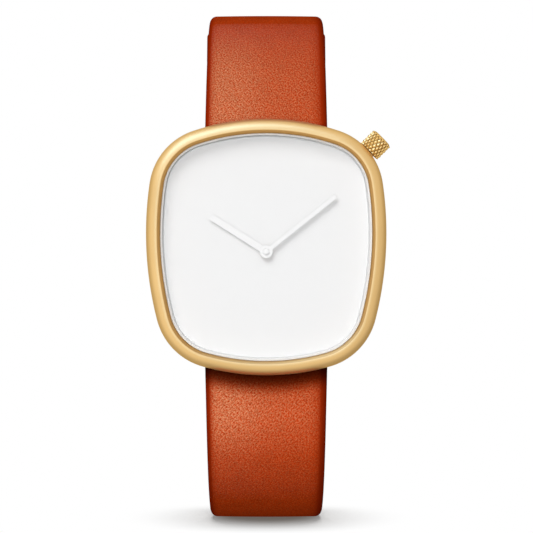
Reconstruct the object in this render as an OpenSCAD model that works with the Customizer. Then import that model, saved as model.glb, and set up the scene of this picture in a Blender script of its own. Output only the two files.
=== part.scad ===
// A two-hand wristwatch that stands on its open leather strap.
// +Z points to 12 o'clock, +X to 3 o'clock, and the dial faces -Y.

/* [Case] */
// Width of the case from 9 to 3 o'clock
case_w = 39; // [38:0.5:44]
// Height of the case above the hands' axis
case_above = 21.5; // [21:0.25:24]
// Height of the case below the hands' axis
case_below = 20.05; // [19.5:0.05:23]
// Height above the hands' axis where the case is widest
widest_up = 3; // [0:0.5:4]
// Radius of the outline along the top
top_r = 37.6; // [33:0.2:45]
// Radius of the outline along the bottom
bottom_r = 38.5; // [33:0.5:45]
// Radius of the outline along each side
side_r = 56.25; // [45:0.25:70]
// Radius of the outline's two upper corners
high_corner_r = 10.5; // [8:0.5:12]
// Radius of the outline's two lower corners
low_corner_r = 10.6; // [8:0.1:12]
// Height of the case's widest line above its back edge
widest_z = 4.5; // [3.8:0.1:5]
// How far the back edge lies inside the outline
back_inset = 2.5; // [1.5:0.1:3]
// Width of the satin ring up to its inner crease
satin_w = 1.85; // [1.5:0.05:2.2]
// Width of the ring out to the crystal
ring_w = 2.33; // [2.25:0.02:2.8]
// How far the ring stands above the crystal
ring_proud = 0.3; // [0.1:0.05:0.6]
// Height of the lower flank's straight edge at the back
back_edge_t = 0.3; // [0.2:0.05:0.5]
// Bore of the case that takes the movement and its holder
cavity_d = 25.6; // [25.2:0.1:26]
// Diameter of the snap-on case back
case_back_d = 27.4; // [27.1:0.1:27.6]
// Thickness of the case back's plate
case_back_t = 0.95; // [0.7:0.05:1.1]
// Thickness of the case back's gasket
back_gasket_t = 0.2; // [0.1:0.05:0.3]
// How far the case back stands behind the case
case_back_proud = 0.6; // [0.4:0.05:0.7]

/* [Crystal and dial] */
// Thickness of the crystal
crystal_t = 1.2; // [1:0.1:1.5]
// Bevel around the crystal's front edge
bevel = 0.3; // [0.15:0.05:0.4]
// Thickness of the crystal's gasket
crystal_gasket_t = 0.3; // [0.2:0.05:0.5]
// Height of the white flange ring
flange_h = 1.3; // [1.2:0.1:1.8]
// Inset of the flange ring's inner edge from the outline
flange_inset = 2.9; // [2.85:0.05:3.4]
// Thickness of the dial
dial_t = 0.4; // [0.3:0.05:0.5]

/* [Hands] */
// Length of the hour hand from the hands' axis
hour_hand_l = 10.56; // [7:0.02:13]
// Length of the minute hand from the hands' axis
minute_hand_l = 14.44; // [10:0.02:15.5]
// Width of the hour hand at its hub
hour_hand_w = 1.1; // [0.8:0.01:1.5]
// Width of the hour hand at its tip
hour_tip_w = 1.04; // [0.5:0.01:1.2]
// Width of the minute hand
minute_hand_w = 0.75; // [0.5:0.01:1.2]
// Direction of the hour hand, anticlockwise from 3 o'clock
hour_bearing = 147.8; // [0:0.1:360]
// Direction of the minute hand, anticlockwise from 3 o'clock
minute_bearing = 38.6; // [0:0.1:360]
// Thickness of a hand
hand_t = 0.16; // [0.12:0.01:0.2]
// Height of the hour hand above the dial
hour_rise = 0.45; // [0.35:0.01:0.5]
// Gap between the two hands
hand_gap = 0.24; // [0.15:0.01:0.3]
// Diameter of the hands' hubs
hand_hub_d = 2.15; // [1.9:0.05:2.4]
// Diameter of the cap over the hands
hand_cap_d = 1.15; // [1:0.05:1.4]
// Height of the cap over the minute hand
hand_cap_h = 0.2; // [0.1:0.02:0.24]

/* [Crown] */
// Direction of the crown, anticlockwise from 3 o'clock
crown_bearing = 44.3; // [40:0.1:48]
// Gap between the case's widest line and the crown
crown_gap = 0.05; // [0.05:0.05:0.5]
// Length of the crown
crown_l = 3.1; // [2.6:0.1:3.6]
// Diameter of the crown
crown_d = 3.9; // [3.5:0.1:4]
// Depth of the crown's knurl
knurl_depth = 0.2; // [0.08:0.01:0.2]
// How many diamonds the knurl has around the crown
knurl_around = 18; // [14:1:32]
// How many rows of diamonds the knurl has along the crown
knurl_rows = 6; // [4:2:18]
// Thickness of the crown's outer wall
crown_wall = 0.4; // [0.3:0.02:0.42]
// Travel of the crown when it is pulled
crown_travel = 0.9; // [0.6:0.1:1]
// Outer diameter of the crown tube
crown_tube_d = 2.1; // [1.9:0.05:2.15]
// Diameter of the stem
stem_d = 0.9; // [0.8:0.05:1]
// Depth of the stem's axis below the dial
stem_drop = 1.1; // [1.06:0.02:1.16]

/* [Movement] */
// Diameter of the movement
movement_d = 23.3; // [23:0.1:23.6]
// Thickness of the main plate
plate_t = 0.8; // [0.75:0.05:0.9]
// Depth of the movement behind the dial
movement_h = 2.4; // [2.35:0.05:2.5]
// Height of the space between the case's back edge and the movement
movement_lift = 1.5; // [1.45:0.05:1.6]
// Thickness of the train bridge
bridge_t = 0.4; // [0.3:0.05:0.45]
// Diameter of the battery
battery_d = 6.8; // [6:0.1:7]
// Height of the battery
battery_h = 1.6; // [1.4:0.05:1.65]
// Length of the coil
coil_l = 6.6; // [5:0.2:7]
// Diameter of the coil
coil_d = 1.4; // [1:0.1:1.4]
// Module of the train's gears
train_module = 0.08; // [0.078:0.001:0.082]
// Module of the hands' gears
motion_module = 0.1; // [0.098:0.001:0.102]
// Thickness of a wheel
wheel_t = 0.15; // [0.12:0.01:0.18]

/* [Strap] */
// Width of the strap at the case
strap_w = 20; // [18:0.5:21]
// Width of the strap at the buckle
buckle_end_w = 17.2; // [16:0.2:19]
// Width of the strap's free end
tail_w = 16; // [15:0.2:19]
// Thickness of the strap
strap_t = 2.4; // [2:0.1:2.8]
// Thickness of the strap's lining
lining_t = 0.8; // [0.6:0.1:1]
// Thickness of the strap around a spring bar at the case
strap_end_t = 3.2; // [3:0.05:3.25]
// Distance of each lug bar inside the case's edge
bar_inset = 3.6; // [3.5:0.05:3.7]
// Height of the lug bars above the case's back edge
bar_z = 1.7; // [1.65:0.05:1.75]
// Lean of the upper strap at its bar, towards the back
upper_lean = 12; // [8:1:20]
// Straight length of the upper strap
upper_lead = 6; // [5:0.5:9]
// Radius of the upper strap's front bend
upper_front_r = 18.4; // [16:0.2:24]
// Radius of the upper strap's back bend
upper_back_r = 28; // [26:0.5:34]
// Length of the upper strap from bar to bar
upper_l = 66; // [62:1:70]
// Lean of the lower strap at its bar, towards the back
lower_lean = 8; // [6:1:20]
// Straight length of the lower strap
lower_lead = 10; // [6:0.5:12]
// Radius of the lower strap's front bend
lower_front_r = 19.6; // [17:0.2:24]
// Radius of the lower strap's back bend
lower_back_r = 30; // [28:0.5:36]
// Length of the lower strap from its bar to its tip
lower_l = 98; // [90:1:102]
// Number of buckle holes
hole_count = 7; // [4:1:8]
// Diameter of a buckle hole
hole_d = 1.8; // [1.4:0.1:2.2]
// Spacing of the buckle holes
hole_pitch = 6; // [5:0.5:7]
// Distance of the first hole from the strap's tip
first_hole = 20; // [16:1:26]
// Width of each keeper loop
keeper_w = 5; // [4:0.5:6]
// Thickness of a keeper's leather
keeper_t = 0.9; // [0.8:0.1:1.4]
// Distance of the fixed keeper from the buckle's bar
keeper_at = 9.5; // [9:0.5:11]
// Distance between the two keepers at rest
keeper_gap = 7; // [7:0.5:11]

/* [Buckle and spring bars] */
// Thickness of the buckle frame
frame_t = 1.8; // [1.6:0.1:2]
// Width of the buckle frame's sides
frame_arm_w = 1.6; // [1.4:0.1:2]
// Reach of the buckle frame from its bar to the middle of its rail
frame_reach = 7.8; // [7:0.1:9]
// Width of the buckle's tongue
tongue_w = 1.6; // [1.2:0.1:1.8]
// Diameter of a lug bar's tube
lug_bar_d = 1.8; // [1.6:0.1:1.9]
// Diameter of the buckle bar's tube
buckle_bar_d = 1.5; // [1.4:0.05:1.55]
// Diameter of a bar's pin tips
pin_d = 0.8; // [0.7:0.02:0.84]
// How deep a pin's tip sits in its hole
pin_grip = 0.9; // [0.6:0.1:1]

/* [Hidden] */
$fn = 48;

// Clearances
snug = 0.05;      // between pieces that are pushed together and held
running = 0.04;   // radial, around a turning shaft
slack = 0.2;      // between the strap and what it swings in
past = 1;         // how far a cutter runs past the face that it cuts

// Levels above the case's back edge, with the dial facing up
dial_z = movement_lift + movement_h;
dial_top = dial_z + dial_t;
flange_top = dial_top + flange_h;
crystal_z = flange_top + crystal_gasket_t;
crystal_top = crystal_z + crystal_t;
ring_top = crystal_top + ring_proud;
stem_z = dial_z - stem_drop;
plate_z = dial_z - plate_t;
bridge_top = movement_lift + bridge_t;
back_seat_z = case_back_t - case_back_proud + back_gasket_t;
spigot_top = movement_lift - 5*snug;

// Outline of the case: one arc along each side and one at each corner, all tangent to each other
top_c = [0, case_above - top_r];
bottom_c = [0, bottom_r - case_below];
side_c = [case_w/2 - side_r, widest_up];

// Crossing of two circles, on the side that turn picks
function crossing(c1, r1, c2, r2, turn) =
    let (v = c2 - c1, far = norm(v), near = (r1*r1 - r2*r2 + far*far)/(2*far))
    c1 + (near*v + turn*sqrt(r1*r1 - near*near)*[v.y, -v.x])/far;
function bearing(from, to) = atan2(to.y - from.y, to.x - from.x);

high_c = crossing(top_c, top_r - high_corner_r, side_c, side_r - high_corner_r, 1);
low_c = crossing(bottom_c, bottom_r - low_corner_r, side_c, side_r - low_corner_r, -1);
// Distance from the hands' axis to an upper corner's arc, in direction a
function corner_reach(a) =
    let (d = [cos(a), sin(a)], off = high_c.x*d.y - high_c.y*d.x)
    high_c*d + sqrt(high_corner_r*high_corner_r - off*off);
arc_steps = 10;
case_arcs = [
    [bottom_c, bottom_r, -90, bearing(bottom_c, low_c)],
    [low_c, low_corner_r, bearing(bottom_c, low_c), bearing(side_c, low_c)],
    [side_c, side_r, bearing(side_c, low_c), bearing(side_c, high_c)],
    [high_c, high_corner_r, bearing(side_c, high_c), bearing(top_c, high_c)],
    [top_c, top_r, bearing(top_c, high_c), 90]
];
function arc_point(arc, share, inset) =
    let (a = arc[2] + (arc[3] - arc[2])*share) arc[0] + (arc[1] - inset)*[cos(a), sin(a)];
function right_half(inset) =
    [for (arc = case_arcs) for (i = [0:arc_steps - 1]) arc_point(arc, i/arc_steps, inset)];
function outline(inset) =
    let (right = right_half(inset), n = len(right))
    concat(right, [[0, case_above - inset]], [for (i = [n - 1:-1:1]) [-right[i].x, right[i].y]]);
function level(inset, z) = [for (p = outline(inset)) [p.x, p.y, z]];

// Section of the case's outside, from the back edge up over the ring to the crystal
flank_steps = 6;
function flank(i) =
    let (a = 90*(1 - i/flank_steps))
    [back_inset*(1 - cos(a)), widest_z - (widest_z - back_edge_t)*sin(a)];
crown_line = 0.92*satin_w;  // inset of the ring's highest line
crease_drop = 0.04;         // fall from the highest line to the crease
inner_drop = 0.5;           // fall from the highest line to the crystal's edge
function shoulder(i) =
    let (a = 90*i/flank_steps)
    [crown_line*(1 - cos(a)), widest_z + (ring_top - widest_z)*sin(a)];
function ring_section() = concat(
    [[back_inset, 0]],
    [for (i = [0:flank_steps]) flank(i)],
    [for (i = [1:flank_steps]) shoulder(i)],
    [[(crown_line + satin_w)/2, ring_top - crease_drop/4]],
    [[satin_w, ring_top - crease_drop]],
    [[ring_w, ring_top - inner_drop]]
);

// Solid through a row of rings with the same number of points
module loft(rings) {
    n = len(rings[0]);
    last = len(rings) - 1;
    walls = [
        for (k = [0:last - 1]) for (i = [0:n - 1])
            let (a = k*n + i, b = k*n + (i + 1)%n)
            each [[a, a + n, b], [b, a + n, b + n]]
    ];
    low_end = [for (i = [0:n - 1]) i];
    high_end = [for (i = [n - 1:-1:0]) last*n + i];
    polyhedron([for (ring = rings) each ring], concat(walls, [low_end], [high_end]));
}

module slab(inset, z, h) translate([0, 0, z]) linear_extrude(h) polygon(outline(inset));
module rod(r, z, h) translate([0, 0, z]) cylinder(r = r, h = h);
module tube(r_out, r_in, z, h) difference() {
    rod(r_out, z, h);
    rod(r_in, z - past, h + 2*past);
}
// Points of a rectangle with round corners, centred on the origin
corner_steps = 5;
function rounded(w, h, r) = [
    for (k = [0:3]) for (i = [0:corner_steps])
        let (a = 90*(k + i/corner_steps), sx = k == 0 || k == 3 ? 1 : -1, sy = k < 2 ? 1 : -1)
        [sx*(w/2 - r) + r*cos(a), sy*(h/2 - r) + r*sin(a)]
];

// Depth from the ring's front to the strap's back, which sets the middle of the whole watch
lower_front_arc = lower_front_r*(90 - lower_lean)*PI/180;
upper_front_arc = upper_front_r*(90 - upper_lean)*PI/180;
function straight(p, s) = [p[0] + s*sin(p[2]), p[1] + s*cos(p[2]), p[2]];
function bend(p, r, s) =
    let (to = p[2] + s/r*180/PI)
    [p[0] + r*(cos(p[2]) - cos(to)), p[1] + r*(sin(to) - sin(p[2])), to];
// A strap half is [start, straight length, front radius, front arc, back radius]: it leaves its bar
// straight, bends until it points to the back, and bends on more widely.
// Each place on it is [distance behind the case's back edge, height from the hands' axis, heading].
upper_half = [[-bar_z, case_above - bar_inset, upper_lean], upper_lead, upper_front_r, upper_front_arc,
    upper_back_r];
lower_half = [[-bar_z, case_below - bar_inset, lower_lean], lower_lead, lower_front_r, lower_front_arc,
    lower_back_r];
function along(half, s) =
    let (bend_at = half[1], back_at = half[1] + half[3])
    s <= bend_at ? straight(half[0], s)
    : s <= back_at ? bend(straight(half[0], bend_at), half[2], s - bend_at)
    : bend(bend(straight(half[0], bend_at), half[2], half[3]), half[4], s - back_at);
function top_of(half) = along(half, half[1] + half[3]);
hands_up = top_of(lower_half)[1] + strap_t/2;
strap_back = top_of(lower_half)[0] + lower_back_r + strap_t/2;
case_y = (ring_top - strap_back)/2;

// Stands the head up: what is drawn with the dial facing +Z then faces -Y
module head() translate([0, case_y, hands_up]) rotate([90, 0, 0]) children();
// Places what is drawn with +Y along a strap half and +Z out of the loop; side is 1 above and -1 below
module on_half(half, s, side) {
    p = along(half, s);
    translate([0, case_y, hands_up]) mirror([0, 0, side < 0 ? 1 : 0])
        translate([0, p[0], p[1]]) rotate([90 - p[2], 0, 0]) children();
}

// Case

cavity_r = cavity_d/2;
case_back_r = case_back_d/2;
spigot_r = cavity_r - 2*snug;
spigot_wall = 0.8;
pocket_w = strap_w + 2*slack;
pocket_gap = 0.3;     // between the strap's rounded end and the pocket's inner wall
pocket_top = bar_z + strap_end_t/2 + slack;
pin_r = pin_d/2;
crown_tube_r = crown_tube_d/2;
crown_from = corner_reach(crown_bearing) + crown_gap;
crown_tube_in = 3.2;    // length of the crown's tube inside the case's edge
crown_tube_out = 1.9;   // length of it inside the crown
crown_tube_from = crown_from - crown_tube_in;
crown_tube_to = crown_from + crown_tube_out;
stem_r = stem_d/2;
stem_hole_r = stem_r + 2*snug;

module to_crown(z) rotate([0, 0, crown_bearing]) translate([0, 0, z]) rotate([0, 90, 0]) children();

module lug_pocket(edge, side) {
    bar_y = edge - bar_inset;
    inner = bar_y - strap_end_t/2 - pocket_gap;
    mirror([0, side < 0 ? 1 : 0, 0]) {
        translate([-pocket_w/2, inner, -past]) cube([pocket_w, edge - inner + past, pocket_top + past]);
        translate([-pocket_w/2 - pin_grip - slack, bar_y, bar_z]) rotate([0, 90, 0])
            cylinder(r = pin_r + running, h = pocket_w + 2*(pin_grip + slack));
    }
}

module case_middle() color("#f0cd91") head() difference() {
    loft([for (p = ring_section()) level(p[0], p[1])]);
    slab(ring_w, dial_z, ring_top);
    rod(cavity_r, -past, dial_z + 2*past);
    rod(case_back_r + snug, -past, back_seat_z + past);
    lug_pocket(case_above, 1);
    lug_pocket(case_below, -1);
    to_crown(stem_z) {
        rod(stem_hole_r, cavity_r - past, crown_tube_from - cavity_r + 2*past);
        rod(crown_tube_r, crown_tube_from, crown_l + crown_tube_to);
    }
}

opener_w = 4;        // width of the notch that a case opener goes into
opener_h = 0.3;      // height of that notch
module case_back() color("#c9c9c9") head() difference() {
    union() {
        rod(case_back_r, -case_back_proud, case_back_t);
        rod(spigot_r, -case_back_proud, spigot_top + case_back_proud);
    }
    rod(spigot_r - spigot_wall, case_back_t - case_back_proud, movement_lift + past);
    translate([-opener_w/2, -case_back_r - past, -case_back_proud + opener_h])
        cube([opener_w, past + opener_h, case_back_t]);
}

module case_back_gasket() color("#333333") head()
    tube(case_back_r, cavity_r + snug, back_seat_z - back_gasket_t, back_gasket_t);

crystal_inset = ring_w + 0.03;
gasket_w = 0.3;
module crystal() color("#dfeaf2", 0.35) head() loft([
    level(crystal_inset, crystal_z),
    level(crystal_inset, crystal_top - bevel),
    level(crystal_inset + bevel, crystal_top)
]);

module crystal_gasket() color("#f4f4f0") head() difference() {
    slab(crystal_inset, flange_top, crystal_gasket_t);
    slab(crystal_inset + gasket_w, flange_top - past, crystal_gasket_t + 2*past);
}

module flange_ring() color("white") head() difference() {
    slab(ring_w + snug, dial_top, flange_h);
    slab(flange_inset, dial_top - past, flange_h + 2*past);
}

// Motion work under the dial: the hour wheel's pipe runs over the cannon pinion's pipe
pipe_r = 0.45;
hour_pipe_r = pipe_r + running;
hour_pipe_wall = 0.24;
dial_hole_r = hour_pipe_r + hour_pipe_wall + 3*snug;
dial_foot_r = 0.35;
dial_foot_h = 0.6;
dial_foot_inset = 2.6;
dial_foot_up = 1.5;
dial_foot_at = [movement_d/2 - dial_foot_inset, dial_foot_up];

module dial() color("white") head() {
    difference() {
        slab(ring_w + snug, dial_z, dial_t);
        rod(dial_hole_r, dial_z - past, dial_t + 2*past);
    }
    for (side = [-1, 1])
        translate(side*dial_foot_at) rod(dial_foot_r, dial_z - dial_foot_h, dial_foot_h);
}

// Hands

hour_z = dial_top + hour_rise;
minute_z = hour_z + hand_t + hand_gap;
hub_r = hand_hub_d/2;

module hand(length, hub_w, tip_w, z, bore_r) difference() {
    union() {
        translate([0, 0, z]) linear_extrude(hand_t)
            polygon([[0, -hub_w/2], [length, -tip_w/2], [length, tip_w/2], [0, hub_w/2]]);
        rod(hub_r, z, hand_t);
    }
    rod(bore_r, z - past, hand_t + 2*past);
}

module hour_hand() color("white") head() rotate([0, 0, hour_bearing])
    hand(hour_hand_l, hour_hand_w, hour_tip_w, hour_z, hour_pipe_r + hour_pipe_wall);
module minute_hand() color("white") head() rotate([0, 0, minute_bearing])
    hand(minute_hand_l, minute_hand_w, minute_hand_w, minute_z, pipe_r);

cap_dot_r = 0.4;
cap_dot_h = 0.06;
module hand_cap() color("white") head() {
    rod(hand_cap_d/2, minute_z + hand_t, hand_cap_h - cap_dot_h);
    rod(cap_dot_r, minute_z + hand_t, hand_cap_h);
}

// Crown, turned so that its axis is +Z while it is drawn

crown_r = crown_d/2;
crown_end = crown_from + crown_l;
crown_chamfer = 0.25;
knurl_columns = 2*knurl_around;
seal_wall = crown_r - knurl_depth - crown_wall - crown_tube_r;
seal_h = 0.5;
seal_at = crown_from + 0.3;
stem_thread = 0.6;

function crown_ring(r, z) =
    [for (i = [0:knurl_columns - 1]) [r*cos(360*i/knurl_columns), r*sin(360*i/knurl_columns), z]];
function knurl_ring(j, z) = [
    for (i = [0:knurl_columns - 1])
        let (a = 360*i/knurl_columns, r = crown_r - ((i + j)%2 == 0 ? 0 : knurl_depth))
        [r*cos(a), r*sin(a), z]
];
// Walls of the knurl: each cell is folded between its two low corners
module knurled(rings) {
    n = knurl_columns;
    last = len(rings) - 1;
    walls = [
        for (k = [0:last - 1]) for (i = [0:n - 1])
            let (a = k*n + i, b = k*n + (i + 1)%n)
            each (i + k)%2 == 1
                ? [[a, a + n, b], [b, a + n, b + n]]
                : [[a, a + n, b + n], [a, b + n, b]]
    ];
    low_end = [for (i = [0:n - 1]) i];
    high_end = [for (i = [n - 1:-1:0]) last*n + i];
    polyhedron([for (ring = rings) each ring], concat(walls, [low_end], [high_end]));
}

module crown() color("#f0cd91") head() to_crown(stem_z) {
    low = crown_from + crown_chamfer;
    high = crown_end - crown_chamfer;
    step = (high - low)/(knurl_rows - 1);
    core_r = crown_r - knurl_depth;
    difference() {
        knurled(concat(
            [crown_ring(core_r - crown_chamfer, crown_from)],
            [for (j = [0:knurl_rows - 1]) knurl_ring(j, low + j*step)],
            [crown_ring(core_r - crown_chamfer, crown_end)]
        ));
        rod(crown_tube_r + seal_wall, crown_from - past, crown_tube_to + 2*slack - crown_from + past);
        rod(stem_r, crown_from, crown_tube_to + stem_thread - crown_from);
    }
}

module crown_gasket() color("#222222") head() to_crown(stem_z)
    tube(crown_tube_r + seal_wall - running/2, crown_tube_r + running, seal_at, seal_h);

module crown_tube() color("#d8b878") head() to_crown(stem_z)
    tube(crown_tube_r, stem_hole_r, crown_tube_from, crown_tube_to - crown_tube_from);

groove_at = 8;         // distance of the stem's groove from the hands' axis
groove_w = 0.5;
groove_r = 0.25;
stem_from = 4.4;
module stem() color("#b8b8b8") head() to_crown(stem_z) {
    rod(stem_r, stem_from, groove_at - groove_w/2 - stem_from);
    rod(groove_r, stem_from, crown_end - crown_wall - stem_from - slack);
    rod(stem_r, groove_at + groove_w/2, crown_tube_to + stem_thread - groove_at - groove_w/2);
}

// The lever's pin sits in the stem's groove and swings evenly about the middle of the crown's travel
lever_arm = 2.2;
lever_t = 0.25;
lever_z = plate_z - 1.1;
lever_w = 0.7;
lever_post_r = 0.3;
lever_pin_r = 0.15;
lever_pivot = [groove_at + crown_travel/2, sqrt(lever_arm*lever_arm - crown_travel*crown_travel/4)];
module at_lever() rotate([0, 0, crown_bearing]) translate(lever_pivot) children();
module setting_lever() color("#a8a8a8") head() {
    difference() {
        union() {
            at_lever() rod(lever_w, lever_z, lever_t);
            rotate([0, 0, crown_bearing]) translate([groove_at, 0]) rod(lever_w/2, lever_z, lever_t);
            at_lever() rotate([0, 0, bearing(lever_pivot, [groove_at, 0])])
                translate([0, -lever_w/2, lever_z]) cube([lever_arm, lever_w, lever_t]);
        }
        at_lever() rod(lever_post_r + running, lever_z - past, lever_t + 2*past);
    }
    rotate([0, 0, crown_bearing]) translate([groove_at, 0])
        rod(lever_pin_r, lever_z, stem_z - groove_r - slack/2 - lever_z);
}

// Movement

movement_r = movement_d/2;
bridge_post_r = 0.7;
screw_r = 0.3;
screw_head_r = 0.55;
screw_head_t = 0.2;
jewel_r = 0.45;
jewel_t = 0.25;
pivot_r = 0.12;

// Tooth counts of the train and of the hands' gears
rotor_teeth = 8;
inter_teeth = 72;
inter_leaves = 8;
centre_teeth = 80;
cannon_leaves = 10;
minute_teeth = 30;
minute_leaves = 8;
hour_teeth = 32;

// Places of the arbors, seen from the dial's side
inter_dir = 270;
rotor_dir = 250;
minute_dir = 150;
function polar(d, a) = d*[cos(a), sin(a)];
inter_at = polar((centre_teeth + inter_leaves)/2*train_module, inter_dir);
rotor_at = inter_at + polar((rotor_teeth + inter_teeth)/2*train_module, rotor_dir);
minute_wheel_at = polar((cannon_leaves + minute_teeth)/2*motion_module, minute_dir);
bridge_screws = [[4.3, 0.6], [-4.4, -2.2]];

// Turn that brings a gear's teeth into the gaps of the gear before it, which lies in direction dir
function mesh_turn(dir, turn, teeth, next) =
    dir + 180 - (0.5 - (dir - turn)*teeth/360)*360/next;
inter_pinion_turn = mesh_turn(inter_dir, 0, centre_teeth, inter_leaves);
rotor_turn = mesh_turn(rotor_dir, inter_pinion_turn, inter_teeth, rotor_teeth);
minute_wheel_turn = mesh_turn(minute_dir, 0, cannon_leaves, minute_teeth);
hour_wheel_turn = mesh_turn(minute_dir + 180, minute_wheel_turn, minute_leaves, hour_teeth);

addendum = 0.9;
dedendum = 1.15;
root_share = 0.3;    // half a tooth's width at its root, as a share of the pitch
tip_share = 0.12;    // half a tooth's width at its tip
function gear_outline(teeth, module_) =
    let (pitch = 360/teeth, r = teeth*module_/2, tip = r + addendum*module_, root = r - dedendum*module_)
    [for (i = [0:teeth - 1]) for (corner = [[root, -root_share], [tip, -tip_share], [tip, tip_share],
        [root, root_share]]) polar(corner[0], (i + corner[1])*pitch)];
module gear(teeth, module_, z, h, turn) translate([0, 0, z]) rotate([0, 0, turn])
    linear_extrude(h) polygon(gear_outline(teeth, module_));

// Levels of the train, up from the bridge to the dial
inter_z = bridge_top + 0.3;
centre_z = inter_z + wheel_t + 0.25;
pinion_h = 0.35;
arbor_r = 0.2;
recess_z = dial_z - 0.6;
cannon_z = recess_z + snug;
cannon_h = 0.26;
hour_wheel_z = dial_z - wheel_t - 2*snug;

module intermediate_wheel() color("#d9b65c") head() translate(inter_at) {
    gear(inter_teeth, train_module, inter_z, wheel_t, inter_pinion_turn);
    gear(inter_leaves, train_module, inter_z, centre_z + wheel_t + snug - inter_z, inter_pinion_turn);
    rod(pivot_r, movement_lift + slack/2, plate_z + jewel_t - movement_lift - slack/2);
}

magnet_r = 0.7;
magnet_h = 0.45;
magnet_z = inter_z + pinion_h;
module rotor() color("#6f6f76") head() translate(rotor_at) {
    gear(rotor_teeth, train_module, inter_z - snug, pinion_h + 2*snug, rotor_turn);
    rod(magnet_r, magnet_z, magnet_h);
    rod(pivot_r, movement_lift + slack/2, plate_z + jewel_t - movement_lift - slack/2);
}

module centre_wheel() color("#d9b65c") head() {
    gear(centre_teeth, train_module, centre_z, wheel_t, 0);
    rod(arbor_r + 2*snug, centre_z - slack, plate_z - centre_z + slack - 2*snug);
    rod(arbor_r, movement_lift + slack/2, minute_z - movement_lift - slack/2);
}

module cannon_pinion() color("#c8a94f") head() difference() {
    union() {
        gear(cannon_leaves, motion_module, cannon_z, cannon_h, 0);
        rod(pipe_r, cannon_z, minute_z + hand_t - cannon_z);
    }
    rod(arbor_r, cannon_z - past, minute_z - cannon_z + past);
}

module minute_wheel() color("#d9b65c") head() translate(minute_wheel_at) difference() {
    union() {
        gear(minute_teeth, motion_module, cannon_z + snug, wheel_t, minute_wheel_turn);
        gear(minute_leaves, motion_module, cannon_z + snug, dial_z - 2*snug - cannon_z, minute_wheel_turn);
    }
    rod(pivot_r + running, recess_z - past, dial_z);
}

module hour_wheel() color("#d9b65c") head() difference() {
    union() {
        gear(hour_teeth, motion_module, hour_wheel_z, wheel_t, hour_wheel_turn);
        rod(hour_pipe_r + hour_pipe_wall, hour_wheel_z, hour_z + hand_t - hour_wheel_z);
    }
    rod(hour_pipe_r, hour_wheel_z - past, hour_z + 2*past);
}

module at_train_jewels() for (p = [inter_at, rotor_at]) translate(p) children();
module train_jewels() color("#c2185b") head() at_train_jewels() {
    tube(jewel_r, pivot_r + running/2, plate_z, jewel_t);
    tube(jewel_r, pivot_r + running/2, movement_lift, bridge_t);
}

// The coil lies along X below the rotor, and the stator and the core close its loop
stator_half = 4.6;
stator_w = 3;
coil_drop = 3.05;
core_w = 0.8;
core_t = 0.4;
coil_c = rotor_at + [0, -coil_drop];
stator_z = magnet_z + snug;
stator_t = 0.3;
stator_hole_r = magnet_r + 0.2;
core_z = stator_z - core_t;
module at_core_ends() for (side = [-1, 1])
    translate(coil_c + [side*(stator_half - core_w/2 - slack), 0]) children();

module stator() color("#8d9096") head() translate([0, 0, stator_z]) linear_extrude(stator_t) difference() {
    translate(rotor_at) {
        translate([-stator_half, -stator_w/2]) square([2*stator_half, stator_w]);
        for (side = [-1, 1])
            translate([side*(stator_half - core_w/2) - core_w/2, -coil_drop - core_w/2])
                square([core_w, coil_drop]);
    }
    translate(rotor_at) circle(r = stator_hole_r);
    at_core_ends() circle(r = screw_r/2);
}

module coil_core() color("#8d9096") head() difference() {
    translate([coil_c.x - stator_half, coil_c.y - core_w/2, core_z]) cube([2*stator_half, core_w, core_t]);
    at_core_ends() rod(screw_r/2, core_z - past, core_t + 2*past);
}

module coil() color("#b5652a") head() difference() {
    translate([coil_c.x - coil_l/2, coil_c.y, core_z + core_t/2]) rotate([0, 90, 0])
        cylinder(r = coil_d/2 - 3*snug, h = coil_l);
    translate([coil_c.x - coil_l, coil_c.y - core_w/2, core_z]) cube([2*coil_l, core_w, core_t]);
}

battery_r = battery_d/2;
battery_at = [-5.6, 4.6];
battery_z = plate_z - snug - battery_h;
battery_rim = 0.5;     // how far the smaller pole lies inside the battery's edge
battery_step = battery_h/3;
module battery() color("#c4c6ca") head() translate(battery_at) {
    rod(battery_r, battery_z + battery_step, battery_h - battery_step);
    rod(battery_r - battery_rim, battery_z, battery_step);
}

clamp_t = 0.12;
clamp_tab = [4.3, 0.9];
clamp_side = 0.9;      // how far the clamp's screw lies beside the battery's middle
clamp_reach = 4.6;     // how far it lies below it
clamp_screw = battery_at - [clamp_side, clamp_reach];
module battery_clamp() color("#b9a15a") head() difference() {
    union() {
        translate(battery_at) rod(battery_r - 2*battery_rim, battery_z - clamp_t, clamp_t);
        translate([clamp_screw.x - clamp_tab.y, clamp_screw.y - clamp_tab.y, battery_z - clamp_t])
            cube([2*clamp_tab.y, clamp_tab.x, clamp_t]);
    }
    translate(clamp_screw) rod(screw_r, battery_z - past, 2*past);
}

board_t = 0.15;
board_z = bridge_top;
board_from = [5.2, -9];
board_size = [6, 11];
board_r = movement_r - 0.7;
can_r = 0.45;
can_l = 4.6;
can_at = [8.4, -5.4];
board_posts = [[6.1, 1.1], [6.1, -7.6]];
module circuit_board() color("#2f6b43") head() difference() {
    intersection() {
        rod(board_r, board_z, board_t);
        translate([board_from.x, board_from.y, board_z - past]) cube([board_size.x, board_size.y, 2*past]);
    }
    for (p = board_posts) translate(p) rod(screw_r, board_z - past, 2*past);
}
module quartz_can() color("#d5d8db") head()
    translate([can_at.x, can_at.y, board_z + board_t + can_r]) rotate([-90, 0, 0])
        cylinder(r = can_r, h = can_l);
chip_size = [1.8, 1.8, 0.4];
chip_at = [5.7, -4];
module control_chip() color("#26282b") head()
    translate([chip_at.x, chip_at.y, board_z + board_t]) cube(chip_size);

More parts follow.
